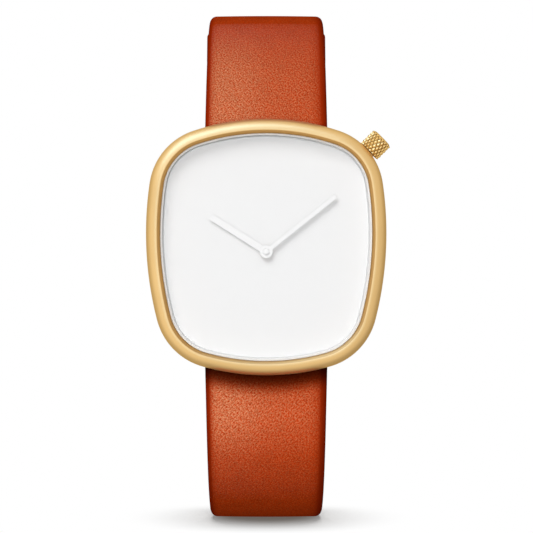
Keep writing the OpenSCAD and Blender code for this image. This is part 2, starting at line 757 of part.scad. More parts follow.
bridge_edge = 1;
bridge_corners = concat(bridge_screws, [rotor_at, inter_at]);
module train_bridge() color("#c7ccd1") head() difference() {
    translate([0, 0, movement_lift]) linear_extrude(bridge_t)
        hull() for (p = bridge_corners) translate(p) circle(r = bridge_edge, $fn = 32);
    rod(arbor_r + running, movement_lift - past, bridge_t + 2*past);
    at_train_jewels() rod(jewel_r, movement_lift - past, bridge_t + 2*past);
    for (p = bridge_screws) translate(p) rod(screw_r, movement_lift - past, bridge_t + 2*past);
}

// Screws end a little short of the plate's recess
plate_screws = concat(bridge_screws, board_posts);
screw_depth = 0.3;
screw_end = plate_z + screw_depth;
screw_slot = 2*snug;
module screw(z) {
    difference() {
        rod(screw_head_r, z - screw_head_t, screw_head_t);
        translate([-screw_head_r, -screw_slot/2, z - screw_head_t - past])
            cube([2*screw_head_r, screw_slot, past + screw_slot]);
    }
    rod(screw_r, z - snug, screw_end - z + snug);
}
module movement_screws() color("#9a9da3") head() {
    for (p = bridge_screws) translate(p) screw(movement_lift);
    for (p = board_posts) translate(p) screw(board_z);
    translate(clamp_screw) screw(battery_z - clamp_t);
    at_core_ends() {
        rod(screw_r, core_z - screw_head_t, screw_head_t);
        rod(screw_r/2, core_z - snug, screw_end - core_z + snug);
    }
}

hour_recess_r = hour_teeth*motion_module/2 + 3*motion_module;
minute_recess_r = minute_teeth*motion_module/2 + 3*motion_module;
module main_plate() color("#dfe3e6") head() {
    difference() {
        union() {
            rod(movement_r, plate_z, plate_t);
            for (p = bridge_screws) translate(p) rod(bridge_post_r, bridge_top, plate_z - bridge_top);
            for (p = board_posts) translate(p)
                rod(bridge_post_r, board_z + board_t, plate_z - board_z - board_t);
            translate(clamp_screw) rod(bridge_post_r, battery_z, plate_z - battery_z);
            at_lever() rod(lever_post_r, lever_z - snug, plate_z - lever_z + snug);
            at_lever() rod(lever_w, lever_z + lever_t + snug, plate_z - lever_z - lever_t - snug);
            at_core_ends() rod(screw_r, stator_z + stator_t, plate_z - stator_z - stator_t);
        }
        rod(hour_recess_r, recess_z, plate_t);
        translate(minute_wheel_at) rod(minute_recess_r, recess_z, plate_t);
        rod(arbor_r + running, plate_z - past, plate_t + past);
        at_train_jewels() rod(jewel_r, plate_z - past, jewel_t + past);
        for (p = plate_screws) translate(p) rod(screw_r, bridge_top - past, screw_end - bridge_top + past);
        translate(clamp_screw) rod(screw_r, battery_z - past, screw_end - battery_z + past);
        at_core_ends() rod(screw_r/2, plate_z - past, screw_depth + past);
        for (side = [-1, 1]) translate(side*dial_foot_at)
            rod(dial_foot_r + snug, dial_z - dial_foot_h - snug, dial_foot_h + past);
        to_crown(stem_z) rod(stem_hole_r, stem_from - slack, movement_r);
    }
    translate(minute_wheel_at) rod(pivot_r, recess_z - snug, dial_z - 2*snug - recess_z);
}

module movement_holder() color("#efefe9") head() difference() {
    tube(cavity_r - 2*snug, movement_r + 2*snug, movement_lift - 4*snug, movement_h + 4*snug);
    to_crown(stem_z) rod(stem_hole_r, movement_r - past, cavity_r);
}

// Strap: a sweep along each half, with rings of points across it

edge_r = 1.2;
lining_edge_r = 0.2;
dome = 0.12;          // fall of the strap's face from its middle to its edges
edge_steps = 3;
edge_cut = 0.3;       // small chamfer along the inner edges
edge_share = 0.7;     // most of a thin section's thickness that its rounded edge takes
dome_marks = [0.3, 0.6, 0.85];
// Right side of a section from its middle at the face to its inner edge, as [x, height]
function section_side(w, high, low, edge) =
    let (half = w/2, round = min(edge, (high - low)*edge_share), cut = min(edge_cut, round/4),
        shoulder = high - dome*min(1, (high - low)/strap_t))
    concat(
        [for (x = dome_marks) [x*(half - round), high - (high - shoulder)*x*x]],
        [for (i = [0:edge_steps]) let (a = 90*i/edge_steps)
            [half - round*(1 - sin(a)), shoulder - round*(1 - cos(a))]],
        [[half, low + cut], [half - cut, low]]
    );
function section(w, high, low, edge) =
    let (side = section_side(w, high, low, edge), n = len(side))
    concat([for (i = [n - 1:-1:0]) [-side[i].x, side[i].y]], [[0, high]], side);
function swept_ring(half, s, w, high, low, edge) =
    let (p = along(half, s))
    [for (q = section(w, high, low, edge)) [q.x, p[0] - q.y*cos(p[2]), p[1] + q.y*sin(p[2])]];
// Each station is [distance along the half, width, height of the face, height of the inside]
module strap_sweep(half, side, stations, edge = edge_r)
    translate([0, case_y, hands_up]) mirror([0, 0, side < 0 ? 1 : 0])
        loft([for (t = stations) swept_ring(half, t[0], t[1], t[2], t[3], edge)]);

station_step = 2.5;
blend_l = 10;          // length over which the strap thins from a bar to its plain thickness
fold_l = 3.6;          // length of the face leather that is folded in at a bar
skive = 1;             // length over which that fold thins out
end_steps = 4;
bar_end_r = strap_end_t/2;
buckle_end_r = buckle_bar_d/2 + 0.6;

function eased(x) = x >= 1 ? 0 : (1 + cos(180*max(0, x)))/2;
function half_t(s, length, far_r) =
    strap_t/2 + (bar_end_r - strap_t/2)*eased(s/blend_l) + (far_r - strap_t/2)*eased((length - s)/blend_l);
function width_at(s, length, far_w) = strap_w - (strap_w - far_w)*max(0, min(1, s/length));

// Distances along a half, with its two bends' ends among them
function run(half, from, to) =
    let (marks = [for (m = [from, half[1], half[1] + half[3], to]) if (m >= from && m <= to) m])
    concat([for (i = [0:len(marks) - 2]) let (count = ceil((marks[i + 1] - marks[i])/station_step))
        for (k = [0:count - 1]) marks[i] + (marks[i + 1] - marks[i])*k/count], [to]);

// The face leather wraps the bar at its start, and runs on from its fold with the lining under it
wrap_turn = 80;        // turn of a rounded end from its outermost line to where it meets the strap
function wrap_in(w) = [for (i = [1:end_steps]) let (a = wrap_turn*i/end_steps)
    [-bar_end_r*cos(a), w, bar_end_r*sin(a), -bar_end_r*sin(a)]];
function face_run(half, from, to, length, far_r, far_w) = [for (s = run(half, from, to))
    let (t = half_t(s, length, far_r)) [s, width_at(s, length, far_w), t, lining_t - t]];
function lining_run(half, from, to, length, far_r, far_w) = [for (s = run(half, from, to))
    let (t = half_t(s, length, far_r)) [s, width_at(s, length, far_w), lining_t - t, -t]];
function start_run(length, far_r, far_w) = concat(wrap_in(strap_w), [for (s = [0, fold_l/2, fold_l])
    let (t = half_t(s, length, far_r)) [s, width_at(s, length, far_w), t, -t]]);

function upper_stations() = concat(
    start_run(upper_l, buckle_end_r, buckle_end_w),
    face_run(upper_half, fold_l + skive, upper_l - fold_l - skive, upper_l, buckle_end_r, buckle_end_w),
    [for (s = [upper_l - fold_l, upper_l - fold_l/2, upper_l]) let (t = half_t(s, upper_l, buckle_end_r))
        [s, buckle_end_w, t, -t]],
    [for (i = [end_steps:-1:1]) let (a = wrap_turn*i/end_steps)
        [upper_l + buckle_end_r*cos(a), buckle_end_w, buckle_end_r*sin(a), -buckle_end_r*sin(a)]]
);

slot_w = 3.2;         // slot in the strap's end for the tongue's loop
slot_l = 4.5;
seam_turn = 45;        // keeps a bored hole's seam off the strap's rings
module bar_hole(r) rotate([seam_turn, 0, 0]) rotate([0, 90, 0])
    cylinder(r = r, h = 2*strap_w, center = true);

module strap_upper() color("#be4b28") difference() {
    strap_sweep(upper_half, 1, upper_stations());
    on_half(upper_half, 0, 1) bar_hole(lug_bar_d/2);
    on_half(upper_half, upper_l, 1) {
        bar_hole(buckle_bar_d/2 + running);
        translate([-slot_w/2, -slot_l, -strap_t]) cube([slot_w, slot_l + strap_t, 2*strap_t]);
    }
}

module strap_upper_lining() color("#d9a06b") strap_sweep(upper_half, 1,
    lining_run(upper_half, fold_l + skive, upper_l - fold_l - skive, upper_l, buckle_end_r, buckle_end_w),
    lining_edge_r);

// The free end narrows to a round tip
tip_l = 9;
tip_steps = 6;
tip_least_w = 3;
lower_plain = lower_l - tip_l;
function tip_w(s) = let (x = (s - lower_plain)/tip_l)
    max(tip_least_w, width_at(s, lower_l, tail_w)*sqrt(max(0, 1 - x*x)));
tip_places = [for (i = [1:tip_steps]) lower_plain + tip_l*sin(90*i/tip_steps)];

module tip_holes() for (i = [0:hole_count - 1]) on_half(lower_half, lower_l - first_hole - i*hole_pitch, -1)
    cylinder(r = hole_d/2, h = 3*strap_t, center = true);

module strap_lower() color("#be4b28") difference() {
    strap_sweep(lower_half, -1, concat(
        start_run(lower_l, strap_t/2, tail_w),
        face_run(lower_half, fold_l + skive, lower_plain, lower_l, strap_t/2, tail_w),
        [for (s = tip_places) [s, tip_w(s), strap_t/2, lining_t - strap_t/2]]
    ));
    on_half(lower_half, 0, -1) bar_hole(lug_bar_d/2);
    tip_holes();
}

module strap_lower_lining() color("#d9a06b") difference() {
    strap_sweep(lower_half, -1, concat(
        lining_run(lower_half, fold_l + skive, lower_plain, lower_l, strap_t/2, tail_w),
        [for (s = tip_places) [s, tip_w(s), lining_t - strap_t/2, -strap_t/2]]
    ), lining_edge_r);
    tip_holes();
}

// A keeper is a flat leather loop with room over the strap for the free end
keeper_slack = 0.25;
keeper_room = strap_t + 2*keeper_slack;
keeper_round = 0.3;    // inner corner radius of a keeper
module keeper(from_buckle) on_half(upper_half, upper_l - from_buckle, 1) {
    w = width_at(upper_l - from_buckle - keeper_w/2, upper_l, buckle_end_w) + 2*keeper_slack;
    low = -strap_t/2 - keeper_slack;
    h = strap_t + 2*keeper_slack + keeper_room;
    translate([0, keeper_w/2, low + h/2]) rotate([90, 0, 0]) linear_extrude(keeper_w) difference() {
        polygon(rounded(w + 2*keeper_t, h + 2*keeper_t, keeper_round + keeper_t));
        polygon(rounded(w, h, keeper_round));
    }
}
module keeper_fixed() color("#be4b28") keeper(keeper_at);
module keeper_sliding() color("#be4b28") keeper(keeper_at + keeper_gap);

// Buckle

frame_room = 0.3;     // between the strap's end and the frame's sides
frame_in = buckle_end_w/2 + frame_room;
frame_out = frame_in + frame_arm_w;
rail_w = 1.8;
notch_w = tongue_w + 2*slack;
notch_d = 0.6;
hub_w = slot_w - 2*slack;
hub_wall = 0.45;
frame_back = 1.4;      // radius of the frame's eyes around the bar
frame_round = 1.2;     // inner corner radius at the rail
frame_far = frame_reach + rail_w/2;
module at_buckle() on_half(upper_half, upper_l, 1) children();

module buckle_frame() color("#e9c88c") at_buckle() difference() {
    union() {
        translate([0, 0, -frame_t/2]) linear_extrude(frame_t) difference() {
            polygon(rounded(2*frame_out, 2*frame_far, frame_round + frame_arm_w));
            polygon(rounded(2*frame_in, 2*frame_far - 2*rail_w, frame_round));
            translate([-frame_out - past, -2*frame_far]) square([2*frame_out + 2*past, 2*frame_far]);
        }
        for (side = [-1, 1])
            translate([side*(frame_in + frame_arm_w/2) - frame_arm_w/2, 0, 0]) rotate([0, 90, 0])
                cylinder(r = frame_back, h = frame_arm_w);
    }
    translate([-notch_w/2, 0, frame_t/2 - notch_d]) cube([notch_w, frame_far + past, frame_t]);
    rotate([0, 90, 0]) cylinder(r = pin_r + running, h = 2*(frame_in + pin_grip + slack/2), center = true);
}

tongue_t = 0.9;
tongue_z = frame_t/2 - notch_d + snug;
tongue_past = 0.5;
module buckle_tongue() color("#e9c88c") at_buckle() difference() {
    union() {
        translate([-hub_w/2, 0, 0]) rotate([0, 90, 0])
            cylinder(r = buckle_bar_d/2 + running + hub_wall, h = hub_w);
        translate([-tongue_w/2, 0, tongue_z]) cube([tongue_w, frame_far + tongue_past, tongue_t]);
    }
    bar_hole(buckle_bar_d/2 + running);
}

// Spring bars: a crimped tube, a spring and two pins that are pushed in against it

pin_head = 1.2;        // length of the pin's thicker inner end
crimp = 0.4;           // length of the tube's crimped end
pin_shoulder = 0.1;    // between that crimp and the pin's thicker end
bar_end_gap = 0.15;    // between a tube's end and what holds the bar
bar_wall = 0.3;
bar_wire = 0.15;
function bar_half(room) = room/2 - bar_end_gap;
function bar_bore(d) = d/2 - bar_wall;

module bar_tube(d, room) rotate([0, 90, 0]) difference() {
    cylinder(r = d/2, h = 2*bar_half(room), center = true);
    cylinder(r = bar_bore(d), h = 2*(bar_half(room) - crimp), center = true);
    cylinder(r = pin_r + running, h = room, center = true);
}
module bar_pin(d, room, side) mirror([side < 0 ? 1 : 0, 0, 0]) rotate([0, 90, 0]) {
    inside = bar_half(room) - crimp - pin_shoulder;
    rod(pin_r, inside - pin_head/2, room/2 + pin_grip - inside + pin_head/2);
    rod(bar_bore(d) - running, inside - pin_head, pin_head);
}
module bar_spring(d, room) rotate([0, 90, 0]) difference() {
    inside = bar_half(room) - crimp - pin_shoulder - pin_head;
    cylinder(r = bar_bore(d) - running, h = 2*inside, center = true);
    cylinder(r = bar_bore(d) - running - bar_wire, h = room, center = true);
}

module upper_bar_tube() color("#b4b6b9") on_half(upper_half, 0, 1) bar_tube(lug_bar_d, pocket_w);
module upper_bar_spring() color("#8f9296") on_half(upper_half, 0, 1) bar_spring(lug_bar_d, pocket_w);
module upper_bar_pin_left() color("#9ea1a5") on_half(upper_half, 0, 1) bar_pin(lug_bar_d, pocket_w, -1);
module upper_bar_pin_right() color("#9ea1a5") on_half(upper_half, 0, 1) bar_pin(lug_bar_d, pocket_w, 1);
module lower_bar_tube() color("#b4b6b9") on_half(lower_half, 0, -1) bar_tube(lug_bar_d, pocket_w);
module lower_bar_spring() color("#8f9296") on_half(lower_half, 0, -1) bar_spring(lug_bar_d, pocket_w);
module lower_bar_pin_left() color("#9ea1a5") on_half(lower_half, 0, -1) bar_pin(lug_bar_d, pocket_w, -1);
module lower_bar_pin_right() color("#9ea1a5") on_half(lower_half, 0, -1) bar_pin(lug_bar_d, pocket_w, 1);
module buckle_bar_tube() color("#b4b6b9") at_buckle() bar_tube(buckle_bar_d, 2*frame_in);
module buckle_bar_spring() color("#8f9296") at_buckle() bar_spring(buckle_bar_d, 2*frame_in);
module buckle_bar_pin_left() color("#9ea1a5") at_buckle() bar_pin(buckle_bar_d, 2*frame_in, -1);
module buckle_bar_pin_right() color("#9ea1a5") at_buckle() bar_pin(buckle_bar_d, 2*frame_in, 1);

case_middle();
case_back();
case_back_gasket();
crystal();
crystal_gasket();
flange_ring();
dial();
hour_hand();
minute_hand();
hand_cap();
crown_tube();
crown();
crown_gasket();
stem();
setting_lever();
movement_holder();
main_plate();
train_bridge();
train_jewels();
movement_screws();
battery();
battery_clamp();
coil();
coil_core();
stator();
circuit_board();
quartz_can();
control_chip();
rotor();
intermediate_wheel();
centre_wheel();
cannon_pinion();
minute_wheel();
hour_wheel();
strap_upper();
strap_upper_lining();
strap_lower();
strap_lower_lining();
keeper_fixed();
keeper_sliding();
buckle_frame();
buckle_tongue();
upper_bar_tube();
upper_bar_spring();
upper_bar_pin_left();
upper_bar_pin_right();
lower_bar_tube();
lower_bar_spring();
lower_bar_pin_left();
lower_bar_pin_right();
buckle_bar_tube();
buckle_bar_spring();
buckle_bar_pin_left();
buckle_bar_pin_right();
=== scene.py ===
"""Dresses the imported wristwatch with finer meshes, materials, a floor, light and a camera.

Sizes are in millimetres here, as in the CAD source, and MM turns them into metres.
The head is drawn in face coordinates: x to 3 o'clock, y to 12 o'clock, z towards the viewer.
"""

from math import asin, atan2, ceil, cos, dist, pi, radians, sin, sqrt

import bpy
import bmesh
from mathutils import Matrix, Vector


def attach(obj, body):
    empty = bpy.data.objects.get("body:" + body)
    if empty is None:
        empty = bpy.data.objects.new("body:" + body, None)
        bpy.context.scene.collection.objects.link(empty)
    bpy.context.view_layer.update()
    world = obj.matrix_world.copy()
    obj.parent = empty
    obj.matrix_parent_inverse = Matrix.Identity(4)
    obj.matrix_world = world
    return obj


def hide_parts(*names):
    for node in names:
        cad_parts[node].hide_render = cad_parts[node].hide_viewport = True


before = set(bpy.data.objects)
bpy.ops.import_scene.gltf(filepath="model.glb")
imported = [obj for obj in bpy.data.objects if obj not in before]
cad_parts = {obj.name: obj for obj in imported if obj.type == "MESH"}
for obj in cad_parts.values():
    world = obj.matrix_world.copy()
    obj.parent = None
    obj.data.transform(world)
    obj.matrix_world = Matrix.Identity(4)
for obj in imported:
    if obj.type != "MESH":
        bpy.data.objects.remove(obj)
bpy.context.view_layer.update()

MM = 0.001

# Distance between the points of the case's outline, and between the strap's stations
POINT_SPACING = 0.55
STATION_STEP = 0.9

# Case, as in the CAD source
CASE_W = 39
CASE_ABOVE = 21.5
CASE_BELOW = 20.05
WIDEST_UP = 3
TOP_R = 37.6
BOTTOM_R = 38.5
SIDE_R = 56.25
HIGH_CORNER_R = 10.5
LOW_CORNER_R = 10.6
WIDEST_Z = 4.5
BACK_INSET = 2.5
BACK_EDGE_T = 0.3
SATIN_W = 1.85
RING_W = 2.33
RING_PROUD = 0.3
CREASE_DROP = 0.04
CREASE_W = 0.1
CREASE_D = 0.12
CREST = 0.92
INNER_DROP = 0.5
CAVITY_R = 12.8
CASE_BACK_R = 13.7
CASE_BACK_T = 0.95
CASE_BACK_PROUD = 0.6
BACK_SEAT_Z = 0.55
BACK_GROOVE_R = 9.7
BACK_GROOVE_D = 0.06
# Where the back's slopes start and end, measured from the groove's middle or the back's edge
BACK_SLOPE = (0.3, 0.1)
HOOP_GAP = 0.1
HOOP_T = 0.8
HOOP_Z = 1.2
# Half the width and the depth of the opener's notch
OPENER_NOTCH = (2, 0.3)
STEM_HOLE_R = 0.55
DIAL_HOLE_R = 0.88
SNUG = 0.05
# How far cutters reach past what they cut, and the hole left in the middle of turned plates
PAST = 1
CENTRE_R = 0.01

# Levels above the case's back edge
DIAL_Z = 3.9
DIAL_TOP = 4.3
FLANGE_TOP = 5.6
CRYSTAL_Z = 5.9
CRYSTAL_TOP = 7.1
RING_TOP = CRYSTAL_TOP + RING_PROUD
STEM_Z = 2.8
SEAT_INSET = RING_W + SNUG
FLANGE_INSET = 2.9
CRYSTAL_INSET = RING_W + 0.03
CRYSTAL_BEVEL = 0.3
GASKET_W = 0.3
HAIR = 0.02
SOFT_EDGE = 0.04

# Hands
HOUR_Z = 4.75
MINUTE_Z = 5.15
HAND_T = 0.16
HAND_SOFT = 0.03
HUB_R = 1.075
# Length, width at the hub, width at the tip and turn in degrees
HOUR_HAND = (10.56, 1.1, 1.04, 147.8)
MINUTE_HAND = (14.44, 0.75, 0.75, 38.6)
CAP_R = 0.575
CAP_H = 0.2
CAP_GROOVE_R = 0.49
CAP_GROOVE_W = 0.09
CAP_GROOVE_D = 0.06
CAP_RIM_H = 0.14
CAP_SLOPE = 0.16
CAP_TOP_R = 0.1

# Crown
CROWN_BEARING = 44.3
CROWN_GAP = 0.05
CROWN_L = 3.1
CROWN_R = 1.95
CROWN_TUBE_R = 1.05
CROWN_TUBE_IN = 3.2
KNURL_DEPTH = 0.2
KNURL_AROUND = 18
KNURL_ROWS = 6
CROWN_CHAMFER = 0.25
CROWN_FOOT = 0.1
CROWN_LIP_W = 0.12
CROWN_DISH_IN = 0.2
CROWN_DISH = 0.06
CROWN_CENTRE_R = 0.05
CROWN_BORE_R = 1.35
CROWN_BORE_L = 2.3
TIP_WEAR = 1.12
# Share of the knurl's depth under which its facets get the painted shade of the grooves
SHADED_GROOVE_SHARE = 0.33

# Strap
STRAP_W = 20
BUCKLE_END_W = 17.2
TAIL_W = 16
STRAP_T = 2.4
LINING_T = 0.8
STRAP_END_T = 3.2
BAR_INSET = 3.6
BAR_Z = 1.7
UPPER_L = 66
LOWER_L = 98
# Lean of each half in degrees where it leaves its bar, its straight lead, and its radius in front and behind
UPPER_RUN = (12, 6, 18.4, 28)
LOWER_RUN = (8, 10, 19.6, 30)
HOLES = 7
HOLE_R = 0.9
HOLE_PITCH = 6
FIRST_HOLE = 20
LUG_BAR_R = 0.9
BLEND_L = 10
FOLD_L = 3.6
SKIVE = 1
TIP_L = 9
TIP_LEAST_W = 2.2
SLOT_W = 3.2
SLOT_L = 4.5
STRAP_SLACK = 0.2
PIN_R = 0.4
PIN_GRIP = 0.9
POCKET_GAP = 0.3
RUNNING = 0.04
BUCKLE_BAR_R = 0.75
BUCKLE_END_R = BUCKLE_BAR_R + 0.6
EDGE_R = 1.2
LINING_EDGE_R = 0.2
EDGE_SHARE = 0.7
EDGE_CUT = 0.3
DOME = 0.12

# Keepers and buckle
KEEPER_W = 5
KEEPER_T = 0.9
KEEPER_AT = 9.5
KEEPER_SPACING = 7
KEEPER_SLACK = 0.25
KEEPER_CORNER_R = 0.3
KEEPER_ROUND = 0.32
FRAME_T = 1.8
FRAME_ARM_W = 1.6
FRAME_REACH = 7.8
RAIL_W = 1.8
FRAME_IN = BUCKLE_END_W / 2 + 0.3
FRAME_EYE_R = 1.4
EYE_SOFT = 0.2
FRAME_CORNER_R = 1.2
FRAME_ROUND = 0.5
NOTCH_SPACE = 1.4
TONGUE_W = 1.6
TONGUE_T = 0.9
TONGUE_PAST = 0.5
TONGUE_ROUND = 0.28
# Places along the tongue, the one where its tip starts, and how much narrower and thinner the tip gets
TONGUE_AT = (0, 0.8, 1.6, 2.4, 3.4, 4.4, 5.4, 6.4, 7.2, 8.0, 8.6, 8.9, 9.1)
TAPER_FROM = 8.0
TIP_NARROWER = 0.88
TIP_THINNER = 0.35
HUB_T = 0.45
HUB_CHAMFER = 0.12
NOTCH_D = 0.6


# Plane geometry of the case's outline

def quarter(steps, first=0):
    """Angles over a quarter turn."""
    return [pi / 2 * i / steps for i in range(first, steps + 1)]


def bearing(start, end):
    """Angle from one point to another, in radians."""
    return atan2(end.y - start.y, end.x - start.x)


def crossing(c1, r1, c2, r2, turn):
    """Crossing of two circles, on the side that turn picks."""
    v = c2 - c1
    far = v.length
    near = (r1 * r1 - r2 * r2 + far * far) / (2 * far)
    off = sqrt(r1 * r1 - near * near)
    return c1 + (v * near + Vector((v.y, -v.x)) * (turn * off)) / far


def case_arcs():
    """The right half of the outline as tangent arcs: (centre, radius, start, end)."""
    top_c = Vector((0, CASE_ABOVE - TOP_R))
    bottom_c = Vector((0, BOTTOM_R - CASE_BELOW))
    side_c = Vector((CASE_W / 2 - SIDE_R, WIDEST_UP))
    high_c = crossing(top_c, TOP_R - HIGH_CORNER_R, side_c, SIDE_R - HIGH_CORNER_R, 1)
    low_c = crossing(bottom_c, BOTTOM_R - LOW_CORNER_R, side_c, SIDE_R - LOW_CORNER_R, -1)
    centres = (bottom_c, low_c, side_c, high_c, top_c)
    radii = (BOTTOM_R, LOW_CORNER_R, SIDE_R, HIGH_CORNER_R, TOP_R)
    joints = (-pi / 2, bearing(bottom_c, low_c), bearing(side_c, low_c), bearing(side_c, high_c),
              bearing(top_c, high_c), pi / 2)
    return list(zip(centres, radii, joints, joints[1:]))


ARCS = case_arcs()


def corner_reach(angle):
    """Distance from the hands' axis to an upper corner's arc."""
    centre, radius = ARCS[3][:2]
    d = Vector((cos(angle), sin(angle)))
    off = centre.x * d.y - centre.y * d.x
    return centre.dot(d) + sqrt(radius * radius - off * off)


CROWN_FROM = corner_reach(radians(CROWN_BEARING)) + CROWN_GAP


def outline(inset):
    """Points of the case's outline, moved inwards by inset."""
    right = []
    for centre, radius, start, end in ARCS:
        steps = ceil(radius * (end - start) / POINT_SPACING)
        for i in range(steps):
            a = start + (end - start) * i / steps
            right.append(centre + Vector((cos(a), sin(a))) * (radius - inset))
    left = [Vector((-p.x, p.y)) for p in right[:0:-1]]
    return right + [Vector((0, CASE_ABOVE - inset))] + left


def circle(r, z, steps):
    turns = [2 * pi * i / steps for i in range(steps)]
    return [Vector((r * cos(a), r * sin(a), z)) for a in turns]


# Places in the row frame

def straight(p, s):
    return (p[0] + s * sin(p[2]), p[1] + s * cos(p[2]), p[2])


def bend(p, r, s):
    to = p[2] + s / r
    return (p[0] + r * (cos(p[2]) - cos(to)), p[1] + r * (sin(to) - sin(p[2])), to)


class Half:
    """One half of the strap: straight from its bar, then bent until it points back, then more widely."""

    def __init__(self, edge, lean, lead, front_r, back_r, side):
        self.start = (-BAR_Z, edge - BAR_INSET, radians(lean))
        self.lead = lead
        self.front_r = front_r
        self.front_arc = front_r * (pi / 2 - radians(lean))
        self.back_r = back_r
        self.side = side

    def along(self, s):
        """(distance behind the case's back edge, height from the hands' axis, heading) at length s."""
        if s <= self.lead:
            return straight(self.start, s)
        s -= self.lead
        p = straight(self.start, self.lead)
        if s <= self.front_arc:
            return bend(p, self.front_r, s)
        return bend(bend(p, self.front_r, self.front_arc), self.back_r, s - self.front_arc)


UPPER = Half(CASE_ABOVE, *UPPER_RUN, 1)
LOWER = Half(CASE_BELOW, *LOWER_RUN, -1)
LOWEST = LOWER.along(LOWER.lead + LOWER.front_arc)
HANDS_UP = LOWEST[1] + STRAP_T / 2
CASE_Y = (RING_TOP - LOWEST[0] - LOWER.back_r - STRAP_T / 2) / 2


FROM_HANDS = Matrix.Scale(MM, 4) @ Matrix.Translation((0, CASE_Y, HANDS_UP))
ACROSS = Matrix.Rotation(pi / 2, 4, "Y")


def head_matrix(turn=0):
    """Face coordinates to the row frame, in metres."""
    return FROM_HANDS @ Matrix.Rotation(pi / 2, 4, "X") @ Matrix.Rotation(turn, 4, "Z")


HEAD = head_matrix()


def crown_matrix():
    """Crown coordinates, with +Z outwards along its axis, to the row frame, in metres."""
    return head_matrix(radians(CROWN_BEARING)) @ Matrix.Translation((0, 0, STEM_Z)) @ ACROSS


def half_matrix(half, s):
    """Coordinates with +Y along the strap and +Z out of the loop to the row frame, in metres."""
    u, v, heading = half.along(s)
    flip = Matrix.Diagonal((1, 1, half.side, 1))
    place = Matrix.Translation((0, u, v)) @ Matrix.Rotation(pi / 2 - heading, 4, "X")
    return FROM_HANDS @ flip @ place


# Meshes

def new_object(name, data):
    obj = bpy.data.objects.new(name, data)
    bpy.context.scene.collection.objects.link(obj)
    return obj


def smooth(mesh, angle=32):
    """Smooth shading with edges kept sharp where faces meet at more than that many degrees."""
    mesh.shade_smooth()
    mesh.set_sharp_from_angle(angle=radians(angle))


def tidy(mesh):
    """Faces that all look outwards, also after a mirrored placing."""
    bm = bmesh.new()
    bm.from_mesh(mesh)
    bmesh.ops.remove_doubles(bm, verts=bm.verts, dist=1e-8)
    bmesh.ops.recalc_face_normals(bm, faces=bm.faces)
    bm.to_mesh(mesh)
    bm.free()


def add_uvs(mesh, ring_uvs, n):
    """Two maps in centimetres: the place on the hide, and the distance in from its nearest edge."""
    hide = mesh.uv_layers.new(name="hide")
    rim = mesh.uv_layers.new(name="rim")
    for poly in mesh.polygons:
        columns = [mesh.loops[i].vertex_index % n for i in poly.loop_indices]
        wraps = max(columns) - min(columns) > n / 2 and len(columns) == 4
        for i, column in zip(poly.loop_indices, columns):
            row = ring_uvs[mesh.loops[i].vertex_index // n]
            across, along, inwards = row[column]
            if wraps and column == 0:
                across = 2 * row[-1][0] - row[-2][0]
            hide.data[i].uv = (across / 10, along / 10)
            rim.data[i].uv = (inwards / 10, along / 10)


def loft(name, rings, place, shaders, ring_uvs=None, caps=True, part=None):
    """A solid or band through a row of rings with the same number of points.

    ring_uvs gives each ring's places on the hide: across, along and in from the nearest edge.
    part picks a material slot for row k, column i.
    """
    n = len(rings[0])
    points = [place @ p for ring in rings for p in ring]
    faces = []
    slots = []
    for k in range(len(rings) - 1):
        a = k * n
        b = a + n
        for i in range(n):
            j = (i + 1) % n
            faces.append((a + i, a + j, b + j, b + i))
            slots.append(part(k, i) if part else 0)
    if caps:
        faces += [tuple(reversed(range(n))), tuple(range(b, b + n))]
        slots += [slots[0], slots[-1]]
    mesh = bpy.data.meshes.new(name)
    mesh.from_pydata(points, [], faces)
    for shader in shaders:
        mesh.materials.append(shader.material)
    mesh.polygons.foreach_set("material_index", slots)
    if ring_uvs:
        add_uvs(mesh, ring_uvs, n)
    tidy(mesh)
    smooth(mesh)
    return new_object(name, mesh)


def turned(name, profile, place, shaders, steps=48, **more):
    """A solid or band turned about z, from a row of (radius, height)."""
    return loft(name, [circle(r, z, steps) for r, z in profile], place, shaders, **more)


def rod(name, r, z0, z1, place, shader, steps=32):
    """A round cutter."""
    return turned(name, [(r, z0), (r, z1)], place, [shader], steps)


def framed(name, rows, shaders, **more):
    """A solid or band of the head that follows the case's outline, from a row of (inset, height)."""
    rings = [[Vector((p.x, p.y, z)) for p in outline(inset)] for inset, z in rows]
    return loft(name, rings, HEAD, shaders, **more)


def block(name, low, high, place, shader):
    """A box cutter between two corners."""
    corners = [(low[0], low[1]), (high[0], low[1]), (high[0], high[1]), (low[0], high[1])]
    rings = [[Vector((x, y, z)) for x, y in corners] for z in (low[2], high[2])]
    return loft(name, rings, place, [shader])


def cut(obj, cutters, angle=32):
    """Takes the cutters out of a solid and removes them. The new faces keep the cutters' material."""
    for cutter in cutters:
        modifier = obj.modifiers.new("cut", "BOOLEAN")
        modifier.operation = "DIFFERENCE"
        modifier.solver = "EXACT"
        modifier.material_mode = "TRANSFER"
        modifier.object = cutter
    graph = bpy.context.evaluated_depsgraph_get()
    graph.update()
    mesh = bpy.data.meshes.new_from_object(obj.evaluated_get(graph))
    obj.modifiers.clear()
    obj.data = mesh
    for cutter in cutters:
        bpy.data.objects.remove(cutter)
    smooth(mesh, angle)


def dress(obj, body, slot, *nodes):
    """The piece rides on a body and stands for CAD nodes, if any are given, which are hidden; slot is not
    used.
    """
    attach(obj, body)
    if nodes:
        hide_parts(*nodes)


# Materials

